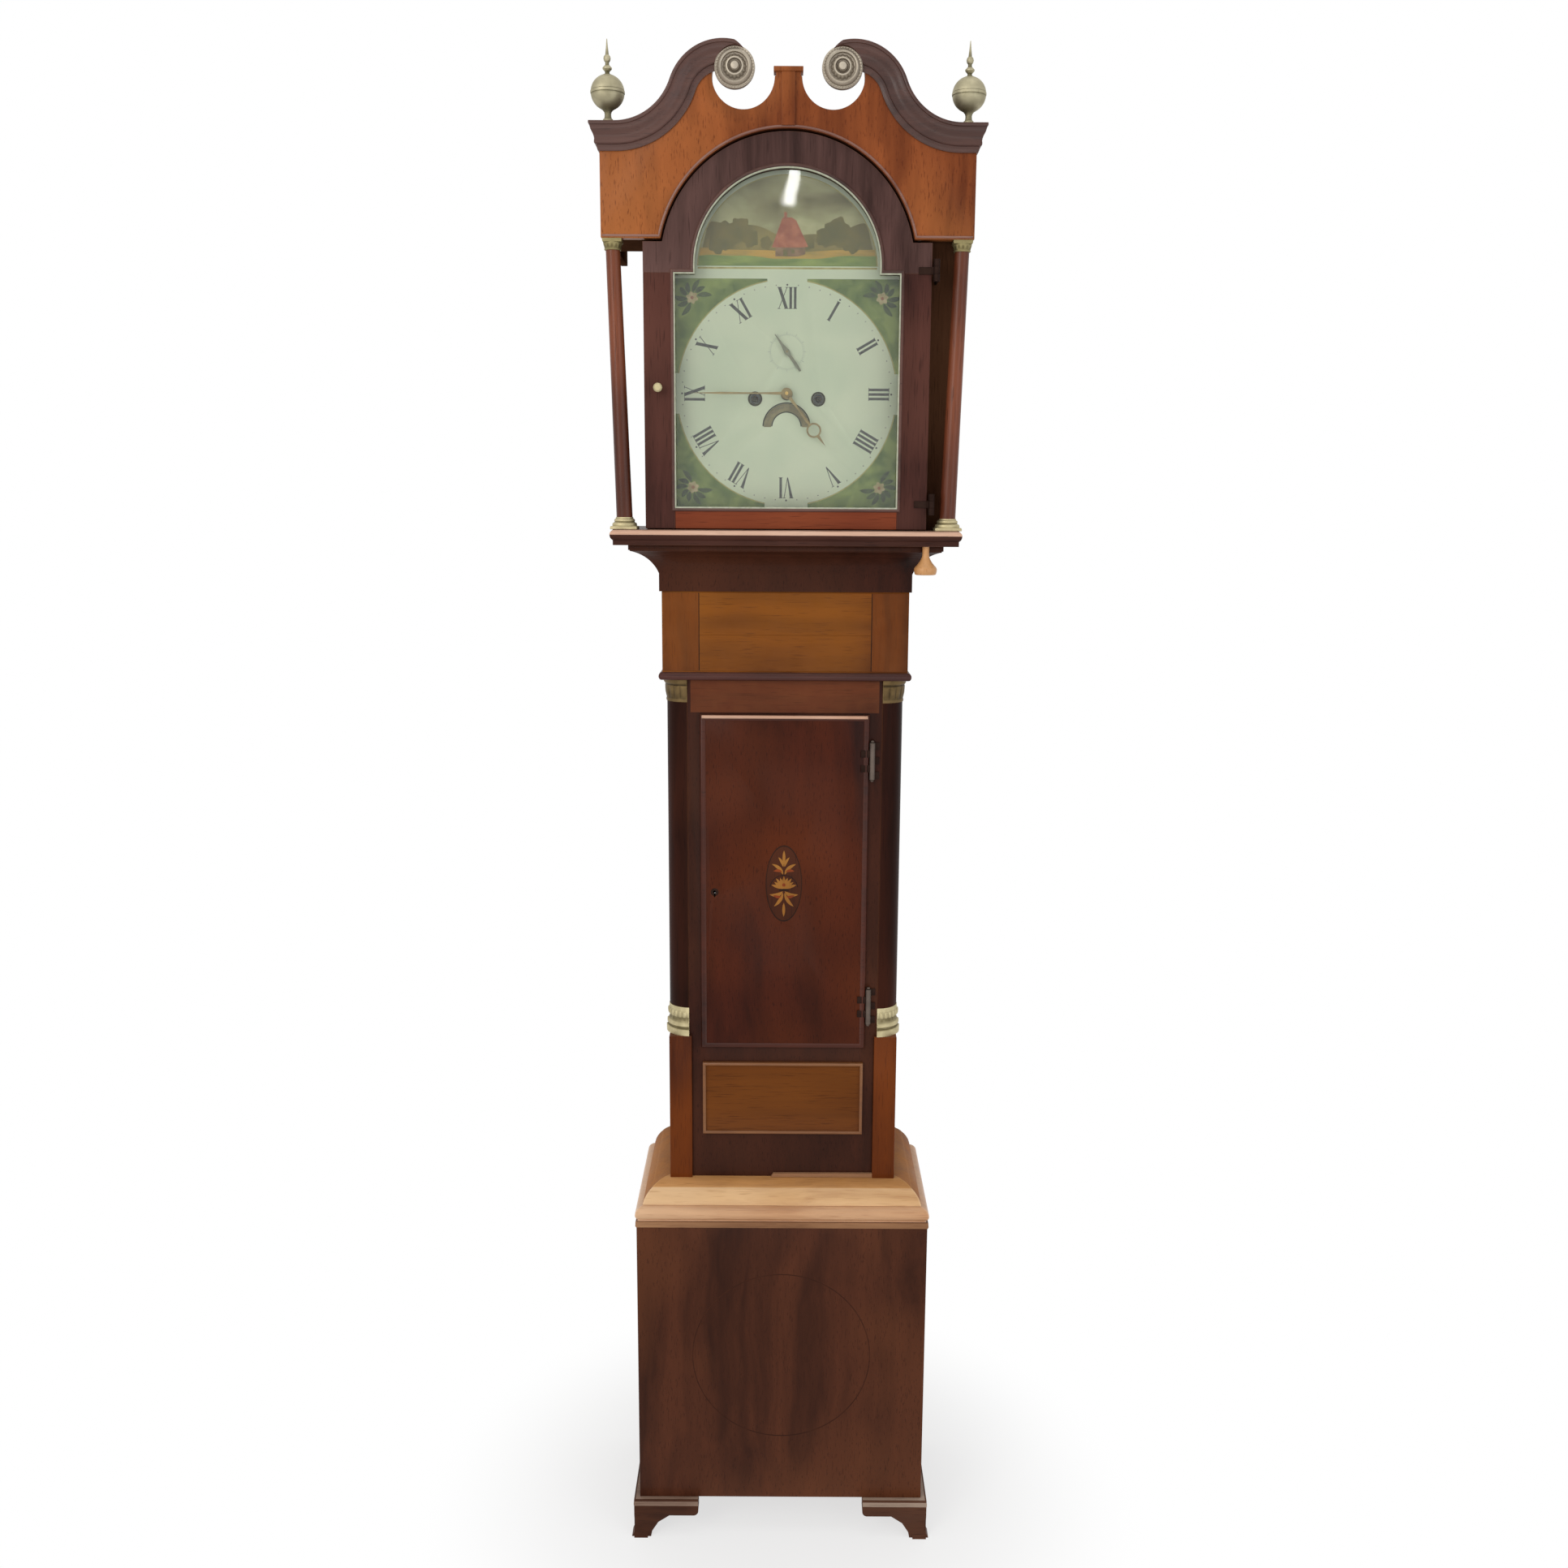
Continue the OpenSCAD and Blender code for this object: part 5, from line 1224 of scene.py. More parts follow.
@dataclass
class TrunkDoor(SubAssembly):
    """The trunk door with its inlay and lock."""

    half: float = 126.5
    low: float = 820.0
    high: float = 1343.0
    front: float = -72.3  # seat of the lip
    motif_z: float = 1084.0
    motif_front: float = -72.42
    motif_back: float = -72.2
    oval: Point2 = (27.0, 59.0)  # half width and half height of the fine line
    nose_z: float = 1340.2  # painted highlight along the top edge
    nose_r: float = 2.5

    def build(self) -> None:
        """Finishes the door and sets its inlay."""
        self.finish_nodes(("trunk_door", DOOR, 1.6), ("trunk_door_hinges", HINGE_DARK, 0.2),
                          ("trunk_lock", HINGE_DARK, 0.2), ("lock_bolt", STEEL, 0.3), ("door_inlay", INLAY_BASE, 0.0))
        lip = [(-8, 0.5), (-8, -0.3), (-6.2, -1.1), (-3.6, -1.3), (-1.6, -0.6), (-0.2, 1.0), (0.6, 3.2), (0.6, 5.6),
               (-1, 5.6)]
        corners = box_line(-self.half, self.low, self.half, self.high)
        self.place(framed("door_lip", corners, lip, self.front), LIP, "trunk_door", "dark_mahogany")
        # Painted highlight: a pale rod along the door's top edge
        line = [(-124.0 + 8 * i, self.front - 1.1, self.nose_z) for i in range(32)]
        self.place(tube("door_top_edge", line, self.nose_r, 12), EDGE_HIGHLIGHT, "trunk_door", "dark_mahogany")
        self._motif()

    def _motif(self) -> None:
        """A shell between two leaf sprays, inside a fine oval line."""
        cz = self.motif_z
        wide, tall = self.oval
        dark = [[(x * wide / tall, cz + z) for x, z in part] for part in band(0, 0, 58.2, 59.4, n=120)]
        dark += band(0, cz - 8, 20.8, 21.6, 8, 172)
        dark.append([(-8, cz - 11), (8, cz - 11), (6, cz - 8.6), (-6, cz - 8.6)])
        gold = [leaf(0, cz - 8, 18 if i % 2 else 20, 4.6, 18 + i * 18) for i in range(9)]
        red: list[Line] = []
        sprays = ((gold, 1.5, -12, 21, 6, -52, 38), (gold, 1.2, -14, 26, 5.4, -80, 22),
                  (red, 4, -20, 12, 4.4, -22, 30), (gold, 1.2, 14, 24, 5.4, 74, -30),
                  (red, 3, 18, 13, 4.6, 40, -34), (gold, 1, 26, 17, 4.2, 84, -20))
        for side, _ in SIDES:
            for tone, x, z, length, width, turn, bend in sprays:
                tone.append([(side * u, v) for u, v in leaf(x, cz + z, length, width, turn, bend)])
        gold += [leaf(0, cz + 30, 22, 4.4, 90), leaf(0, cz - 30, 22, 4.4, -90)]
        red += band(0, cz - 2, 0.01, 2.6)
        for name, lines, finish, over, step in (
                ("gold", gold, INLAY_GOLD, 0.0, 0.004), ("red", red, INLAY_RED, 0.1, 0.004),
                ("dark", dark, INLAY_DARK, 0.12, 0.0)):
            obj = prisms(f"inlay_{name}", lines, self.motif_front - over, self.motif_back, step)
            self.place(obj, finish, "trunk_door", "inlay_wood")


@dataclass
class Hood(SubAssembly):
    """The sliding hood: cornice, pillars, rosettes, finials and pull."""

    back: float = 141.0
    half: float = 257.0  # of the frieze board
    thick: float = 18.0  # of the frieze board
    eaves: float = 2015.0  # lower edge of the frieze
    edge_r: float = 181.5  # bead in its arch
    soffit: Point3 = (2012.0, 178.1, 179.3)  # lower end and radii of the arch's dark lining, painted shade
    stop: Point3 = (147.5, 184.0, 4.0)  # radii and start angle of the dark ring behind the door's head, painted shade
    nose_z: float = 1608.3
    nose_r: float = 8.25
    base: Point3 = (242.0, -128.0, 130.0)  # half width, front and back
    top: float = 2160.0
    cornice_h: float = 36.0  # how far the cornice reaches down
    side_out: float = 13.0 / 16  # depth of the cornice at the sides for each millimetre at the front
    cap: float = 3.0  # boards that close the necks' tops
    rosette: Point2 = (72.5, 2230.0)
    rosette_r: float = 27.5
    upper_arc: Point2 = (88.0, 2187.787)  # centre of the neck's upper curve
    upper_r: float = 76.0
    lower_arc: Point2 = (235.0, 2240.0)  # and of its lower curve
    lower_r: float = 80.0
    curl: float = 132.0  # where the tip ends round the rosette, in degrees
    finial: Point2 = (246.0, 14.0)  # X and setback
    pillar_y: float = -108.0
    pillar_feet: float = 231.0  # the pillars lean outward
    pillar_heads: float = 242.0
    pull: Point2 = (200.0, -122.0)  # X and Y

    def build(self) -> None:
        """Finishes and details the hood."""
        self.finish_nodes(
            ("hood_base", HOOD_BASE, 0.5), ("hood_carcass", CARCASS, 0.6), ("hood_frieze", FRIEZE, 0.7),
            ("hood_pillars", PILLAR, 0.0), ("dial_mask", HOOD, 0.4), ("hood_hinge_plates", HINGE_DARK, 0.2))
        self._base_edge()
        self._frieze_edge()
        self._soffit()
        self._necks()
        self._rosettes()
        self._finials()
        self._pillar_mounts()
        self._pull()

    def _wooden(self, obj: Object, finish: Wood) -> None:
        """Finishes a new wooden piece of the hood."""
        self.place(obj, finish, "hood", "hood_mahogany")

    def _base_edge(self) -> None:
        """A pale strip on the hood base's rounded nose: a painted highlight."""
        ring = arc_points(0, self.nose_z, self.nose_r, 6, 96, 10) + [(-1.0, 1612.0), (6.0, 1609.0)]
        self._wooden(grid("hood_base_edge", return_rows(ring, *self.base), 30), EDGE_HIGHLIGHT)

    def _frieze_edge(self) -> None:
        """The fine bead that follows the frieze's lower edge and its arch."""
        turn = degrees(asin((self.eaves - ARCH_Z) / self.edge_r))
        run = [(-255.0 + 9.7 * i, self.eaves) for i in range(8)]
        line = run + arc_points(0, ARCH_Z, self.edge_r, 180 - turn, turn, 80) + [(-x, z) for x, z in run[::-1]]
        path = [(x, FRIEZE_FRONT + 0.2, z) for x, z in line]
        self._wooden(tube("frieze_edge", path, 1.7, 10), EDGE_RED)

    def _soffit(self) -> None:
        """The dark, dull lining of the frieze arch, which the door's head closes against, is painted shade; so is the
        dark ring behind the door's head.
        """
        z, inner, outer = self.soffit
        low = degrees(asin((z - ARCH_Z) / 179))
        self._wooden(prisms("frieze_soffit", band(0, ARCH_Z, inner, outer, low, 180 - low, 144),
                            FRIEZE_FRONT + 0.3, FRIEZE_FRONT + self.thick - 0.2), SOFFIT_SHADE)
        inner, outer, low = self.stop
        self._wooden(prisms("arch_stop", band(0, ARCH_Z, inner, outer, low, 180 - low, 144),
                            DOOR_BACK + 0.6, DOOR_BACK + 3.6), SOFFIT_SHADE)

    def _neck_path(self, drop: float) -> list[Point3]:
        """The swan-neck line at a drop under its top edge, from its curled tip to the corner.

        Args:
            drop: Height of the line under the top edge.

        Returns:
            X, Z and the share of the moulding's depth that stands at each point.
        """
        (ux, uz), (lx, lz), (cx, cz) = self.upper_arc, self.lower_arc, self.rosette
        join = degrees(atan2(lz - uz, lx - ux))
        r = self.upper_r - drop
        start = degrees(acos((cx - ux) / r)) if r > 16 else 120.0
        while start > join:
            x, z = arc_points(ux, uz, r, start, start, 1)[0]
            if hypot(x - cx, z - cz) >= self.rosette_r - 0.8:
                break
            start -= 0.5
        first = arc_points(ux, uz, r, start, join, 22)
        second = arc_points(lx, lz, self.lower_r + drop, 180 + join, 270, 20)[1:]
        x, z = first[0][0] - cx, first[0][1] - cz
        far, turn, near = hypot(x, z), atan2(z, x), self.rosette_r - 2.5
        tip = []
        for k in range(12, 0, -1):
            t = k / 12
            a = turn + (radians(self.curl) - turn) * t
            q = near + (far - near) * (1 - t) ** 1.6
            tip.append((cx + q * cos(a), cz + q * sin(a), 0.25 + 0.75 * (1 - t) ** 0.8))
        return tip + [(x, z, 1.0) for x, z in first + second]

    def _necks(self) -> None:
        """A cyma moulding that follows the scroll, curls round the rosette and returns along the side."""
        profile = [(0, 0), (0, 15.6), (2.6, 16), (4.2, 15.4), (5, 13.9), (7.4, 13.5), (10.5, 12.4), (13.4, 10.6),
                   (16, 8.9), (18.6, 7.9), (21.4, 7.2), (24, 7.6), (26.4, 7.6), (27.8, 6.4), (28.4, 4.2), (30.6, 3.9),
                   (33, 3.4), (self.cornice_h, 2.0), (self.cornice_h, 0)]

        def neck(side: int, name: str) -> Object:
            """One neck with its return along the side.

            Args:
                side, name: The side's sign and name.

            Returns:
                The neck.
            """
            lines = []
            for drop, out in profile:
                wide = side * (self.half + out * self.side_out)
                path = [(side * x, FRIEZE_FRONT - out * full, z) for x, z, full in self._neck_path(drop)]
                path += [(wide, y, self.top - drop)
                         for y in (FRIEZE_FRONT - out, (FRIEZE_FRONT + self.back) / 2, self.back)]
                lines.append(path)
            return grid(f"swan_neck_{name}", list(zip(*lines)), 28)

        def edge(side: int, drop: float) -> Line:
            """The scroll's line at a drop, down to the corner."""
            return [(side * x, z) for x, z, _ in self._neck_path(drop)] + [(side * self.half, self.top - drop)]
        self.pair(neck, CORNICE, "hood", "hood_mahogany", "swan_necks")
        caps = [edge(side, 0) + edge(side, self.cap)[::-1] for side, _ in SIDES]
        self._wooden(prisms("neck_caps", caps, FRIEZE_FRONT, FRIEZE_FRONT + self.thick), CORNICE)

    def _rosettes(self) -> None:
        """Pressed brass paterae: rings, a beaded border and a domed boss."""
        profile = [(0, 0), (27.2, 0), (self.rosette_r, 3), (27.2, 8), (25.6, 9.4), (23.6, 9), (22.6, 11.6),
                   (20.4, 13.6), (18.4, 12.4), (17.6, 9.4), (15.6, 8.9), (13.6, 10.8), (11.6, 14.6), (9.8, 14.8),
                   (8.6, 11.8), (7.2, 11.2), (6.2, 14.4), (4.8, 17.2), (2.4, 18), (0, 18)]

        def flutes(a: float, _h: float, r: float) -> float:
            """Radial flutes in the ring round the boss."""
            return 0.5 * cos(16 * a) if 12.5 < r < 17 else 0.0
        for side, name in SIDES:
            x, z = side * self.rosette[0], self.rosette[1]
            obj = lathe(f"rosette_{name}", profile, (x, FRIEZE_FRONT, z), "-Y", 96, flutes)
            self.place(obj, GILT_PALE, "hood", "gilt_brass", *on_right(side, "rosettes"))
            beads = self.shop.ring.make(f"rosette_beads_{name}", knob_item(1.1, 1.2), 40, 25.1,
                                        (x, FRIEZE_FRONT - 9.0, z), self.shop.book.material(GILT_PALE))
            self.place(beads, GILT_PALE, "hood", "gilt_brass")

    def _finials(self) -> None:
        """Turned brass balls with a turned spire above each."""
        foot = [(0, 0), (10, 0), (10.2, 1.2), (9.6, 3.2), (7.2, 4.4), (6.8, 7.4), (5.2, 8.6), (4.6, 11), (4.4, 14),
                (5.2, 17), (7.4, 19.6)]
        r, z = 23, 42
        ball = [p for p in arc_points(0, z, r, -64, 66, 26) if abs(p[1] - z) > 2.4]
        mid = next(i for i, p in enumerate(ball) if p[1] > z)
        ball[mid:mid] = [(22.6, 40), (23.3, 40.3), (23.5, 42), (23.3, 43.7), (22.6, 44)]
        spire = [(6.2, 64.4), (3.4, 65.6), (3, 68), (4, 69), (6.3, 71.6), (6.4, 73.2), (4.4, 75.4), (2.8, 77),
                 (2.6, 80), (4.2, 82), (5, 85), (4.2, 88), (2.4, 90), (2.1, 93), (1.3, 100), (0.5, 110), (0, 110)]
        x, setback = self.finial

        def turned(side: int, name: str) -> Object:
            """One finial."""
            return lathe(f"finial_{name}", foot + ball + spire, (side * x, FRIEZE_FRONT + setback, self.top))
        self.pair(turned, FINIAL, "hood", "gilt_brass", "finials")

    def _pillar_mounts(self) -> None:
        """Cast bases and leaf capitals of the hood pillars."""
        z0, z1 = (corner[2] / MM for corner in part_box("pillar_mounts"))
        base = [(0, 4.4), (17.4, 4.4), (17.8, 6), (17.2, 8.6), (15.2, 9.6), (14.2, 10.6), (14.8, 12.2), (14.4, 14),
                (12.6, 15.2), (12.4, 17), (0, 17)]
        cap = [(0, 0), (11.4, 0), (12, 1.2), (11.4, 2.6), (11.6, 5), (12.4, 7.4), (13.2, 9), (13.2, 10.4), (0, 10.4)]

        def leaves(a: float, h: float, _r: float) -> float:
            """Upright leaves on the capital."""
            return 0.8 * abs(sin(6 * a)) - 0.2 if 2.6 < h < 9 else 0.0

        def square(name: str, x: float, z: float, rows: Sequence[Point2], edge: float) -> Object:
            """A square block with soft edges.

            Args:
                name: Its name.
                x, z: Where its axis stands, and height 0.
                rows: Half width and height of each level.
                edge: Width of the rounding.

            Returns:
                The block.
            """
            obj = grid(name, [
                [(x + a * w, self.pillar_y + b * w, z + h) for a, b in ((-1, -1), (1, -1), (1, 1), (-1, 1))]
                for w, h in rows])
            soften(obj, edge)
            return obj
        for side, name in SIDES:
            low, high, y = side * self.pillar_feet, side * self.pillar_heads, self.pillar_y
            pieces = (
                (GILT, lathe(f"pillar_base_{name}", base, (low, y, z0), steps=56)),
                (GILT, square(f"pillar_foot_{name}", low, z0, ((19, 0), (19, 3.6), (18, 4.6)), 0.5)),
                (BRONZE, lathe(f"pillar_cap_{name}", cap, (high, y, z1 - 15), steps=72, relief=leaves)),
                (BRONZE, square(f"pillar_abacus_{name}", high, z1, ((13, -5), (13.4, -2.6), (13.4, 0)), 0.4)))
            for i, (finish, obj) in enumerate(pieces):
                nodes = () if i else on_right(side, "pillar_mounts")
                self.place(obj, finish, "hood", "gilt_brass", *nodes)

    def _pull(self) -> None:
        """The turned wooden pull under the hood's front."""
        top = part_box("hood_pull")[1][2] / MM
        profile = [(0, -40), (13.4, -40), (15, -39.2), (15.8, -37), (16.4, -34), (16.3, -31.4), (15, -28.8),
                   (12.6, -26.4), (9.4, -22.4), (7, -18.6), (5.4, -15), (4.8, -10), (4.9, -4), (5, 0), (0, 0)]
        obj = lathe("turned_pull", profile, (*self.pull, top), steps=56)
        self.place(obj, BEECH, "hood", "beech", "hood_pull")


@dataclass
class HoodDoor(SubAssembly):
    """The glazed, arched door."""

    half: float = 200.0
    sight: float = 157.5  # of the opening
    rail: float = 1647.0  # top of the bottom rail
    spring: float = 1967.0  # top of the stiles
    shoulder: float = 2008.0  # of the head
    head_r: float = 176.0  # of the head's arch
    sight_r: float = 130.0  # of the opening's arch
    knob: Point2 = (-180.0, 5.0)  # X, and height over the dial's centre

    def build(self) -> None:
        """Joined stiles and rails with a bead round the glass."""
        place = self.place
        half, sight, spring = self.half, self.sight, self.spring
        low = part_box("hood_door_frame")[0][2] / MM
        stiles = prisms("door_stiles", [box_line(s * sight, low, s * half, spring) for s, _ in SIDES],
                        DOOR_FRONT, DOOR_BACK)
        soften(stiles, 0.7)
        place(stiles, HOOD, "hood_door", "hood_mahogany", "hood_door_frame")
        rail = prisms("door_rail", [box_line(-sight, low, sight, self.rail)], DOOR_FRONT, DOOR_BACK)
        soften(rail, 0.7)
        place(rail, HOOD_RAIL, "hood_door", "hood_mahogany")
        outer = degrees(asin((self.shoulder - ARCH_Z) / self.head_r))
        inner = degrees(asin((spring - ARCH_Z) / self.sight_r))
        head = [(half, spring), (half, self.shoulder)]
        head += arc_points(0, ARCH_Z, self.head_r, outer, 180 - outer, 72)
        head += [(-half, self.shoulder), (-half, spring), (-sight, spring)]
        head += arc_points(0, ARCH_Z, self.sight_r, 180 - inner, inner, 72) + [(sight, spring)]
        # The arched head is lighter and greyer than the stiles: painted sheen
        arch = prisms("door_arch", [head], DOOR_FRONT, DOOR_BACK)
        place(arch, HOOD_ARCH_SHEEN, "hood_door", "hood_mahogany")
        self._bead(inner)
        self.finish_nodes(("hood_glass", GLASS, 0.0), ("hood_door_hinges", HINGE_DARK, 0.2))
        profile = [(0, 0), (4.6, 0), (4.8, 0.9), (3.2, 1.6), (2.7, 4), (2.8, 7), (4, 8.4), (5.8, 10), (6.5, 12),
                   (6, 14.2), (4.2, 15.7), (0, 16)]
        knob = lathe("door_knob", profile, (self.knob[0], DOOR_FRONT, DIAL_Z + self.knob[1]), "-Y", 48)
        place(knob, GILT, "hood_door", "gilt_brass", "hood_door_knob")

    def _bead(self, inner: float) -> None:
        """The moulded lip that runs round the opening, with a pale line where it meets the glass.

        Args:
            inner: Angle where the opening's arch starts, in degrees.
        """
        path = [(-self.sight, self.rail), (self.sight, self.rail), (self.sight, self.spring)]
        path += arc_points(0, ARCH_Z, self.sight_r, inner, 180 - inner, 72) + [(-self.sight, self.spring)]
        lip = [(0.6, 0.4), (0.6, -1.2), (2.0, -2.4), (3.6, -2.2), (5.0, -0.6), (5.0, 0.4)]
        line = [(0.5, 0.4), (-1.6, 1.6), (-1.6, -0.2), (-0.9, -1.0), (0.5, -0.9)]
        for name, profile, finish in (("door_bead", lip, CORNICE), ("glass_line", line, PUTTY)):
            self.place(framed(name, path, profile, DOOR_FRONT), finish, "hood_door", "hood_mahogany")


@dataclass
class Dial(SubAssembly):
    """The painted dial, its numerals, pictures and hands."""

    minute_r: float = 149.0
    numeral_r: float = 116.5  # of their feet
    numeral_h: float = 25.0
    stretch: Point2 = (1.18, 1.12)  # of the numerals, outward and along the ring
    seconds: Point3 = (23.0, 23.5, 26.0)  # radii of the ring's line, of the ticks' feet and of their tips
    rim: Point2 = (7.6, 10.2)  # radii round the winding holes
    collet: Point2 = (4.4, 9.5)  # radii of the dark ring behind them, painted shade
    square: float = 3.2  # half width
    slot: Point2 = (21.8, 32.7)  # radii of the date slot
    spandrel: Point2 = (161.0, 155.5)  # half width, and radius of the curved edge
    flower: Point2 = (134.0, 131.0)  # centre, from the dial's centre
    picture_r: float = 125.5
    picture_z: float = 1981.0  # lower edge
    date_r: float = 28.0
    date_y: float = -81.05
    date_size: float = 4.3
    blade_turn: float = 36.0  # degrees left of the top

    def build(self) -> None:
        """Paints the dial. Each tone is its own thin layer."""
        self.finish_nodes(("dial_plate", ENAMEL, 0.2), ("date_disc", DISC, 0.0), ("minute_hand", HAND, 0.15),
                          ("hour_hand", HAND, 0.15))
        self._numerals()
        self._seconds_ring()
        self._rims()
        self._spandrels()
        self._picture()
        self._date_numbers()
        self._seconds_blade()
        self._winding_holes()

    def _layer(self, name: str, outlines: Sequence[Line], finish: Paint, depth: float, step: float = 0.0) -> None:
        """One layer of paint that stands depth out of the plate, each shape step over the one before it."""
        obj = prisms(name, outlines, DIAL_FRONT - depth, DIAL_FRONT + 0.05, step)
        self.place(obj, finish, "case", "painted_dial")

    @staticmethod
    def _turned(line: Sequence[Point2], a: float, z: float) -> Line:
        """Points given outward and to the right, turned by a radians clockwise from the top round (0, z)."""
        return [(sin(a) * r + cos(a) * q, z + cos(a) * r - sin(a) * q) for r, q in line]

    def _roman(self, word: str) -> tuple[list[Line], float]:
        """Strokes of a Roman numeral.

        Args:
            word: Its letters.

        Returns:
            The strokes and the numeral's width.
        """
        h, thin = self.numeral_h, 0.7
        top = h - thin
        serifs = [box_line(0, top, 5.6, h), box_line(10.2, top, 13.8, h)]
        letters = {
            "I": ([box_line(0.9, thin, 4.1, top), box_line(0, 0, 5, thin), box_line(0, top, 5, h)], 5.6),
            "V": ([[(0.8, top), (7.2, 0), (8.4, 0), (4.8, top)],
                   [(11.6, top), (12.5, top), (8.3, 0.4), (7.4, 0.4)], *serifs], 14.0),
            "X": ([[(0.8, top), (9.4, thin), (13.4, thin), (4.8, top)],
                   [(11.6, top), (12.5, top), (2.6, thin), (1.7, thin)], *serifs,
                   box_line(8.6, 0, 14.2, thin), box_line(0.4, 0, 4, thin)], 14.4)}
        out, x = [], 0.0
        for c in word:
            strokes, wide = letters[c]
            out += [[(x + u, v) for u, v in s] for s in strokes]
            x += wide
        return out, x - 0.6

    def _numerals(self) -> None:
        """The hour numerals and the dots of the minute ring."""
        lines = []
        (out, along), low = self.stretch, self.numeral_r
        for i, word in enumerate(("XII", "I", "II", "III", "IIII", "V", "VI", "VII", "VIII", "IX", "X", "XI")):
            strokes, width = self._roman(word)
            lines += [self._turned([(low + out * v, along * (u - width / 2)) for u, v in s],
                                   radians(i * 30), DIAL_Z) for s in strokes]
        self._layer("numerals", lines, INK_AND_SHADE, 0.10)
        ink = self.shop.book.material(INK_AND_SHADE)
        for name, r, h, count in (("minute_dots", 0.75, 0.12, 60), ("hour_dots", 1.4, 0.14, 12)):
            dots = self.shop.ring.make(name, knob_item(r, h), count, self.minute_r, (0, DIAL_FRONT, DIAL_Z), ink)
            self.place(dots, INK_AND_SHADE, "case", "painted_dial")

    def _seconds_ring(self) -> None:
        """Ticks of the seconds ring, longer and wider at every fifth, and its fine line."""
        line, r0, r1 = self.seconds
        ticks = []
        for i in range(60):
            w, tip = (0.22, r1) if i % 5 else (0.4, r1 + 1.5)
            ticks.append(self._turned([(r0, -w), (r0, w), (tip, w), (tip, -w)], radians(i * 6), SECONDS_Z))
        self._layer("seconds_ring", ticks + band(0, SECONDS_Z, line, line + 0.3), FAINT, 0.06)

    def _rims(self) -> None:
        """Dark metal rims of the winding holes and of the date slot."""
        low, high = self.slot
        holes = band(-WINDING_X, WINDING_Z, *self.rim, n=48) + band(WINDING_X, WINDING_Z, *self.rim, n=48)
        slot = band(0, DATE_Z, high, high + 1.7, 2, 178) + band(0, DATE_Z, low - 1.6, low, 3, 177)
        for name, lines, depth in (("winding_rims", holes, 0.5), ("date_rim", slot, 0.4)):
            obj = prisms(name, lines, DIAL_FRONT - depth, DIAL_FRONT + 0.05)
            self.place(obj, COLLET_AND_SHADE, "case", "gilt_brass")

    def _spandrels(self) -> None:
        """Green corners with a gilt line, leaves and a small flower."""
        half, r = self.spandrel
        cx, cz = self.flower

        def corner(top: float, share: float) -> tuple[Line, Line]:
            """A corner field and its gilt line.

            Args:
                top: Its straight edge.
                share: Cosine of the angle where its curved edge ends.

            Returns:
                The two outlines.
            """
            low, high = degrees(asin(0.18)), degrees(acos(share))
            arc = arc_points(0, 0, r, low, high, 36)
            line = arc_points(0, 0, r + 1.6, low, high, 36) + arc_points(0, 0, r + 0.2, high, low, 36)
            return arc + [(arc[-1][0], top), (half, top), (half, arc[0][1])], line

        def corners(upper: list[Line], lower: list[Line]) -> list[Line]:
            """The outlines of an upper and a lower corner, set in all four."""
            return [[(sx * x, DIAL_Z + sz * z) for x, z in line]
                    for sx, _ in SIDES for sz, lines in ((1, upper), (-1, lower)) for line in lines]
        (field_up, line_up), (field_low, line_low) = corner(157.0, 0.18), corner(161.0, 0.2)
        self._layer("spandrel_fields", corners([field_up], [field_low]), SPANDREL, 0.04)
        self._layer("spandrel_lines", corners([line_up], [line_low]), SPANDREL_EDGE, 0.09)
        leaves = []
        for turn, length in ((100, 20), (60, 15), (-10, 20), (28, 15), (160, 22), (-72, 22), (128, 17), (-40, 17)):
            a = radians(turn)
            leaves.append(leaf(cx + 7 * cos(a), cz + 7 * sin(a), length, 7.0, turn, 18))
        petals = [leaf(cx, cz, 9.0, 6.4, k * 60 + 15) for k in range(6)]
        heart = [arc_points(cx, cz, 2.4, 0, 345, 15)]
        self._layer("spandrel_leaves", corners(leaves, leaves), LEAF, 0.06, 0.003)
        self._layer("spandrel_petals", corners(petals, petals), PETAL, 0.17, 0.003)
        self._layer("spandrel_hearts", corners(heart, heart), HEART, 0.27)

    def _clip(self, points: Sequence[Point2]) -> Line:
        """Pulls points inside the arch picture.

        Args:
            points: An outline.

        Returns:
            The outline with no point past the picture's edges.
        """
        out = []
        for x, z in points:
            d = hypot(x, z - ARCH_Z)
            if d > self.picture_r:
                x, z = x * self.picture_r / d, ARCH_Z + (z - ARCH_Z) * self.picture_r / d
            out.append((x, max(z, self.picture_z)))
        return out

    def _ridge(self, z0: float, rise: float, waves: float, shift: float) -> Line:
        """Ground below a rolling skyline.

        Args:
            z0: Mean height of the skyline.
            rise: Height of its waves.
            waves: Angle that the waves run through across the picture.
            shift: Angle that they start at.

        Returns:
            The outline.
        """
        wide, n = 125.0, 40
        top = [(-wide + 2 * wide * i / n, z0 + rise * sin(waves * i / n + shift) + 0.3 * rise *
                sin(3.1 * waves * i / n + shift)) for i in range(n + 1)]
        return self._clip(top[::-1] + [(-wide, self.picture_z), (wide, self.picture_z)])

    def _tree(self, cx: float, cz: float, r: float) -> Line:
        """A tree's crown.

        Args:
            cx, cz: Its centre.
            r: Its mean radius.

        Returns:
            The outline.
        """
        line = []
        for i in range(36):
            t = 2 * pi * i / 36
            q = r * (1 + 0.10 * sin(5 * t + cx) + 0.06 * sin(9 * t + cz))
            line.append((cx + q * cos(t), cz + 1.1 * q * sin(t)))
        return self._clip(line)

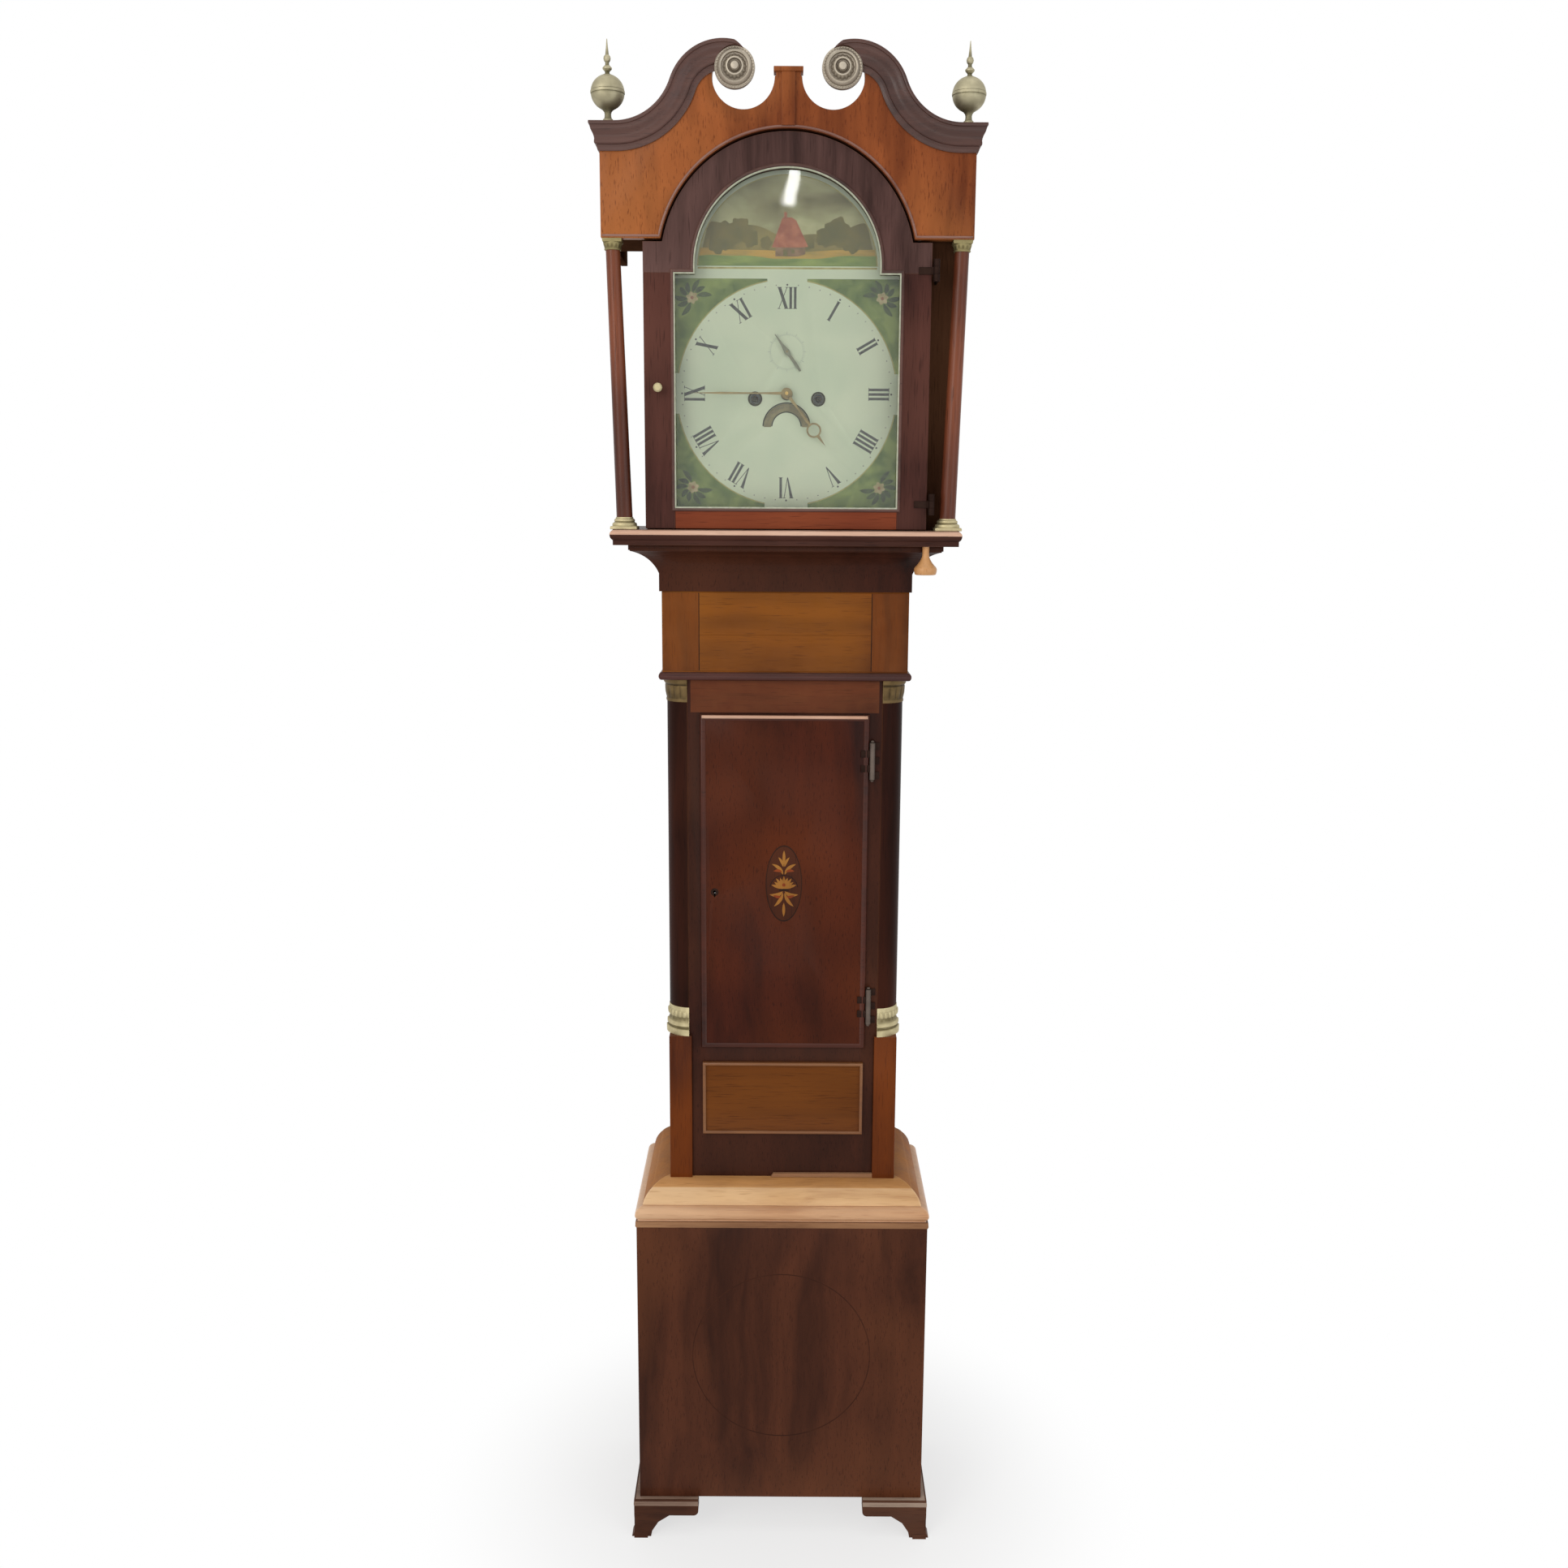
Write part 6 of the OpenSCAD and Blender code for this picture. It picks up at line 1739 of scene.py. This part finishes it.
    def _picture(self) -> None:
        """A generic landscape in the arch: a cottage between trees above a meadow."""
        r, a = self.picture_r, degrees(asin((self.picture_z - ARCH_Z) / self.picture_r))
        trees = [self._tree(*spot) for spot in (
            (-84, 2022, 17), (-66, 2030, 14), (-98, 2010, 12), (-52, 2018, 11), (70, 2026, 18), (90, 2014, 14),
            (52, 2020, 12), (30, 2012, 8), (-30, 2012, 8))]
        walls = [box_line(-17, 1994, 15, 2007), [(15, 1994), (25, 1997), (25, 2008), (15, 2007)]]
        roofs = [[(-22, 2006), (18, 2006), (6, 2046), (-7, 2046)], [(18, 2006), (29, 2007), (12, 2042), (6, 2046)],
                 box_line(-5, 2044, -1, 2053)]
        openings = [box_line(-6, 1994, 0, 2003), box_line(5, 1998, 10, 2003)]
        for name, lines, finish, depth, *step in (
                ("sky", [arc_points(0, ARCH_Z, r, a, 180 - a, 72)], SKY, 0.04),
                ("hills", [self._ridge(2030, 9, 7.0, 0.6)], HILL, 0.07),
                ("field", [self._ridge(2003, 2.2, 5.0, 2.0)], FIELD, 0.10),
                ("meadow", [self._ridge(1993, 2.4, 8.0, 0.4)], MEADOW, 0.13),
                ("trees", trees, TREE, 0.15, 0.005),
                ("walls", walls, WALL, 0.20),
                ("roof", roofs, ROOF, 0.23),
                ("openings", openings, TREE, 0.24),
                ("border", band(0, ARCH_Z, r, r + 1.5, a, 180 - a), SPANDREL_EDGE, 0.12),
                ("strip", [box_line(-126, 1977, 126, 1979.4)], SPANDREL_EDGE, 0.08)):
            self._layer(f"arch_{name}", lines, finish, depth, *step)

    def _date_numbers(self) -> None:
        """Numbers 1 to 31 on the date disc."""
        made = []
        for i in range(31):
            font = bpy.data.curves.new(f"date_{i + 1}", "FONT")
            font.body = str(i + 1)
            font.size = self.date_size * MM
            font.extrude = 0.05 * MM
            font.align_x = font.align_y = "CENTER"
            font.resolution_u = 2
            text = add_object(f"date_{i + 1}", font)
            graph = bpy.context.evaluated_depsgraph_get()
            data = bpy.data.meshes.new_from_object(text.evaluated_get(graph))
            bpy.data.objects.remove(text)
            data.transform(Matrix.Translation(Vector((0, self.date_y, DATE_Z)) * MM)
                           @ Matrix.Rotation(pi / 2, 4, "X") @ Matrix.Rotation(-2 * pi * i / 31, 4, "Z")
                           @ Matrix.Translation(Vector((0, self.date_r, 0)) * MM))
            made.append(add_object("number", data))
        obj = joined("date_numbers", made, weld=0.001)
        self.place(obj, INK_AND_SHADE, "date_disc", "painted_dial")

    def _seconds_blade(self) -> None:
        """The two-armed blade of the seconds hand, over its thin core."""
        half = [(0.6, 29.0), (1.7, 12.0), (3.3, 3.5), (3.9, 0.0), (3.0, -4.0), (1.6, -9.0), (2.2, -20.0), (1.3, -33.0)]
        line = [(v, u) for u, v in half + [(-u, v) for u, v in half[::-1]]]
        turned = self._turned(line, -radians(self.blade_turn), SECONDS_Z)
        obj = prisms("seconds_blade", [turned], DIAL_FRONT - 4.65, DIAL_FRONT - 3.35)
        soften(obj, 0.2, 1)
        self.place(obj, SECONDS, "escape_wheel", "painted_dial")

    def _winding_holes(self) -> None:
        """Painted shade in the winding holes: a dark ring behind the dial round each hole, and dark metal ends over the
        steel winding squares.
        """
        rings = band(-WINDING_X, WINDING_Z, *self.collet, n=48) + band(WINDING_X, WINDING_Z, *self.collet, n=48)
        # A dark ring behind the dial round each winding hole: painted shade
        obj = prisms("winding_collets", rings, DIAL_FRONT + 2.1, DIAL_FRONT + 2.9)
        self.place(obj, INK_AND_SHADE, "case", "painted_dial")
        for x, train in ((WINDING_X, "going"), (-WINDING_X, "strike")):
            h = self.square
            # Dark ends over the winding squares: painted shade
            obj = prisms(f"{train}_square", [box_line(x - h, WINDING_Z - h, x + h, WINDING_Z + h)],
                         DIAL_FRONT - 2.2, DIAL_FRONT + 8)
            soften(obj, 0.4, 1)
            self.place(obj, COLLET_AND_SHADE, f"{train}_barrel", "steel")


@dataclass
class Movement(SubAssembly):
    """Brass wheels, steel arbors, gut lines, weights and pendulum."""

    swing_y: float = 66.0
    bend: float = 1895.0  # where the pendulum's spring bends
    bob: Point3 = (58.0, 15.0, 994.0)  # radius, rise of its face, and depth under the bend
    rod_z: float = 817.0  # lower end of the rod
    nut_z: float = 823.0
    gut_r: float = 0.9
    turn_r: float = 24.3  # turns of gut on a barrel
    turn_y: float = -29.6
    turn_gap: float = 1.92
    turns: int = 10
    barrel_r: float = 24.5  # gut to axis
    pulley_r: float = 22.5  # gut to axis
    line_y: float = -10.0
    seat_z: float = 1700.0
    pulley_z: float = 1480.0
    pulley_x: float = 2.0  # how far it hangs left of its barrel

    def build(self) -> None:
        """Finishes the movement and strings its lines."""
        brass = ("movement_frame", "bell", "going_great_wheel", "going_barrel", "going_pulley", "going_weight",
                 "strike_great_wheel", "strike_barrel", "strike_pulley", "strike_weight", "centre_wheel",
                 "third_wheel", "minute_wheel", "pin_wheel", "pallet_wheel", "strike_fly")
        self.finish_nodes(*((name, BRASS, 0.0) for name in brass), ("anchor", STEEL, 0.2), ("hammer", STEEL, 0.2),
                          ("escape_wheel", HAND, 0.0))
        self._pendulum()
        for side, train in ((1, "going"), (-1, "strike")):
            self._line(train, side * WINDING_X)

    def _pendulum(self) -> None:
        """Suspension spring and block, steel rod, brass-faced bob and knurled rating nut."""
        y, bend = self.swing_y, self.bend
        place = self.place

        def block(name: str, rows: Sequence[Point3]) -> Object:
            """A block from its half width, half depth and height at each level."""
            return grid(name, [[(-w, y - d, z), (w, y - d, z), (w, y + d, z), (-w, y + d, z)]
                               for w, d, z in rows])
        spring = block("pendulum_spring", [(4, 0.2, bend - drop) for drop in (37, 18, 0)])
        place(spring, STEEL, "pendulum", "steel", "pendulum")
        clamp = block("pendulum_block", [(3.6, 2.8, bend - 48), (5, 4, bend - 46), (5, 4, bend - 38),
                                         (3.6, 2.8, bend - 36)])
        place(clamp, BRASS, "pendulum", "movement_brass")
        rod = tube("pendulum_rod", [(0, y, bend - 47 - 12 * k) for k in range(86)] + [(0, y, self.rod_z)], 2.2, 16)
        place(rod, STEEL, "pendulum", "steel")
        r, rise, drop = self.bob
        bowl = (r * r + rise * rise) / (2 * rise)
        face = [(r * i / 20, sqrt(bowl ** 2 - (r * i / 20) ** 2) - bowl + rise + 1) for i in range(21)]
        lens = [(q, -h) for q, h in face] + [(q, h) for q, h in face[::-1]]
        bob = lathe("pendulum_bob", lens, (0, y, bend - drop), "-Y", 96)
        place(bob, BRASS, "pendulum", "movement_brass")
        nut = [(0, 0), (7.6, 0), (8.6, 0.9), (9, 2), (9, 4), (8.6, 5.1), (7.6, 6), (0, 6)]
        knurl = lathe("rating_nut", nut, (0, y, self.nut_z), "Z", 96,
                      lambda a, _h, q: 0.3 * cos(24 * a) if q > 8.2 else 0.0)
        place(knurl, BRASS, "pendulum", "movement_brass")

    def _line(self, train: str, bx: float) -> None:
        """One train's gut: wound on its barrel, down to the pulley, round it and back up to the seatboard.

        Args:
            train: Name of the train.
            bx: X of its barrel.
        """
        place = self.place
        y, r, seat, low, cx = self.line_y, self.gut_r, self.seat_z, self.pulley_z, bx - self.pulley_x
        circle = [2 * pi * k / 72 for k in range(72)]
        turns = [tube("turn", [(bx + self.turn_r * cos(t), self.turn_y + i * self.turn_gap,
                                WINDING_Z + self.turn_r * sin(t)) for t in circle], r, 8, True)
                 for i in range(self.turns)]
        place(joined(f"{train}_turns", turns, smooth=True), GUT, f"{train}_barrel", "gut")
        lead = [(bx - self.barrel_r, y, seat + 10 * k) for k in range(11)]
        place(tube(f"{train}_lead", lead, r + 0.06, 12), GUT, "case", "gut")
        strands = [tube("strand", [(cx + side * self.pulley_r, y, seat - (seat - low) * k / 22)
                                   for k in range(23)], r, 12) for side in (-1, 1)]
        obj = joined(f"{train}_strands", strands, smooth=True)
        self.dress(obj, GUT, "gut", f"{train}_line")
        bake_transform(obj)
        half = [pi + pi * k / 32 for k in range(33)]
        bight = [(cx + self.pulley_r * cos(t), y, low + self.pulley_r * sin(t)) for t in half]
        place(tube(f"{train}_bight", bight, r, 12), GUT, f"{train}_weight", "gut")


# ---------------------------------------------------------------- stage

@dataclass
class Studio:
    """Floor, lights and camera, in metres."""

    dim: float = 0.55  # of the world for light that isn't seen directly
    ground: Point3 = (20000.0, -9000.0, 40000.0)  # half width, front and back in millimetres
    fade: Point2 = (0.24, 0.62)  # where the floor starts and ends to turn white
    eye: Point3 = (-0.0013, -2.291, 1.664)
    yaw: float = 0.0003
    pitch: float = 0.1894
    roll: float = 0.0057
    focal: float = 1850 / 1932  # against the picture's width
    film: float = 36  # sensor width in millimetres

    def _seen(self, g: Graph) -> NodeSocket:
        """A strength of 1 for what is seen directly, in gloss or through glass, and dim for the rest.

        Args:
            g: The tree that it is added to.

        Returns:
            The strength.
        """
        ray = g.add("ShaderNodeLightPath", {}).outputs
        either = g.sum("MAXIMUM", ray["Is Camera Ray"], ray["Is Glossy Ray"])
        return g.span(g.sum("MAXIMUM", either, ray["Is Transmission Ray"]), to_low=self.dim)

    def lights(self) -> None:
        """Soft daylight from the front, brighter from the left, and a small window for the glass."""
        for name, at, to, size, power, colour in (
                ("key", (-2.2, -3.2, 2.9), (0, 0, 1.4), (1.8, 2.4), 46, (1.0, 0.98, 0.94)),
                ("fill", (2.6, -2.8, 1.8), (0, 0, 1.0), (2.0, 2.6), 18, (0.88, 0.94, 1.0)),
                ("top", (0, -0.6, 3.8), (0, 0, 1.2), (2.2, 1.6), 8, (1, 1, 1)),
                ("low", (0, -3.4, 0.6), (0, 0, 0.6), (2.4, 1.0), 10, (1.0, 0.97, 0.93)),
                ("window", (0.03, -4.1, 2.87), (0, -0.1, 2.06), (0.042, 0.14), 0.3, (1, 1, 1))):
            data = bpy.data.lights.new(name, "AREA")
            data.shape = "RECTANGLE"
            data.size, data.size_y = size
            data.energy = power
            data.color = colour
            obj = add_object(name, data)
            obj.location = at
            obj.rotation_euler = (Vector(to) - Vector(at)).to_track_quat("-Z", "Y").to_euler()
        world = bpy.data.worlds.new("day")
        world.use_nodes = True
        g = Graph(world.node_tree)
        g.fill(world.node_tree.nodes["Background"], {0: WHITE, 1: self._seen(g)})
        bpy.context.scene.world = world

    def floor(self) -> None:
        """A pale floor that keeps the shadow near the clock and fades to white further out."""
        half, front, back = self.ground
        obj = mesh("floor", [(x, y, 0) for x, y in box_line(-half, front, half, back)], [[0, 1, 2, 3]])
        if obj.data.polygons[0].normal.z < 0:
            obj.data.flip_normals()
        mat = bpy.data.materials.new("studio_floor")
        mat.use_nodes = True
        g, nodes = Graph(mat.node_tree), mat.node_tree.nodes
        g.fill(nodes["Principled BSDF"], {"Base Color": (0.93, 0.925, 0.915, 1), "Roughness": 0.8,
                                          "Specular IOR Level": 0.1})
        away = g.add("ShaderNodeVectorMath", {0: g.place()}, operation="LENGTH").outputs["Value"]
        share = g.add("ShaderNodeMapRange", {"Value": away, "From Min": self.fade[0], "From Max": self.fade[1],
                                             "To Min": 0.66}, interpolation_type="SMOOTHSTEP").outputs["Result"]
        glow = g.add("ShaderNodeEmission", {"Strength": self._seen(g)}).outputs[0]
        mix = g.add("ShaderNodeMixShader", {0: share, 1: nodes["Principled BSDF"].outputs[0], 2: glow})
        g.fill(nodes["Material Output"], {"Surface": mix.outputs[0]})
        obj.data.materials.append(mat)

    def camera(self) -> None:
        """The photo's own viewpoint."""
        yaw, pitch, roll = self.yaw, self.pitch, self.roll
        ahead = Vector((sin(yaw) * cos(pitch), cos(yaw) * cos(pitch), -sin(pitch)))
        level = Vector((cos(yaw), -sin(yaw), 0))
        above = level.cross(ahead)
        right = cos(roll) * level + sin(roll) * above
        up = -sin(roll) * level + cos(roll) * above
        data = bpy.data.cameras.new("camera")
        data.sensor_width = self.film
        data.lens = self.focal * self.film
        data.clip_end = 60
        data.dof.use_dof = False
        obj = add_object("camera", data)
        obj.matrix_world = Matrix.Translation(self.eye) @ Matrix((right, up, -ahead)).transposed().to_4x4()
        bpy.context.scene.camera = obj


def main() -> None:
    """Loads the frame, builds the clock, logs each sub-assembly's pieces and sets the stage."""
    logging.basicConfig(level=logging.INFO)
    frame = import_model()
    studio = Studio()
    studio.camera()
    shop = Workshop(MaterialBook(), frame["nodes"], RingRepeat(), SmoothByAngle())
    for part in (CaseBody(shop), TrunkDoor(shop), Hood(shop), HoodDoor(shop), Dial(shop), Movement(shop)):
        part.build()
        LOG.info("%s: %s", type(part).__name__, ", ".join(shop.done))
        shop.done.clear()
    studio.floor()
    studio.lights()
    bpy.context.scene.view_settings.view_transform = "Standard"
    bpy.context.view_layer.update()


if __name__ == "__main__":
    main()
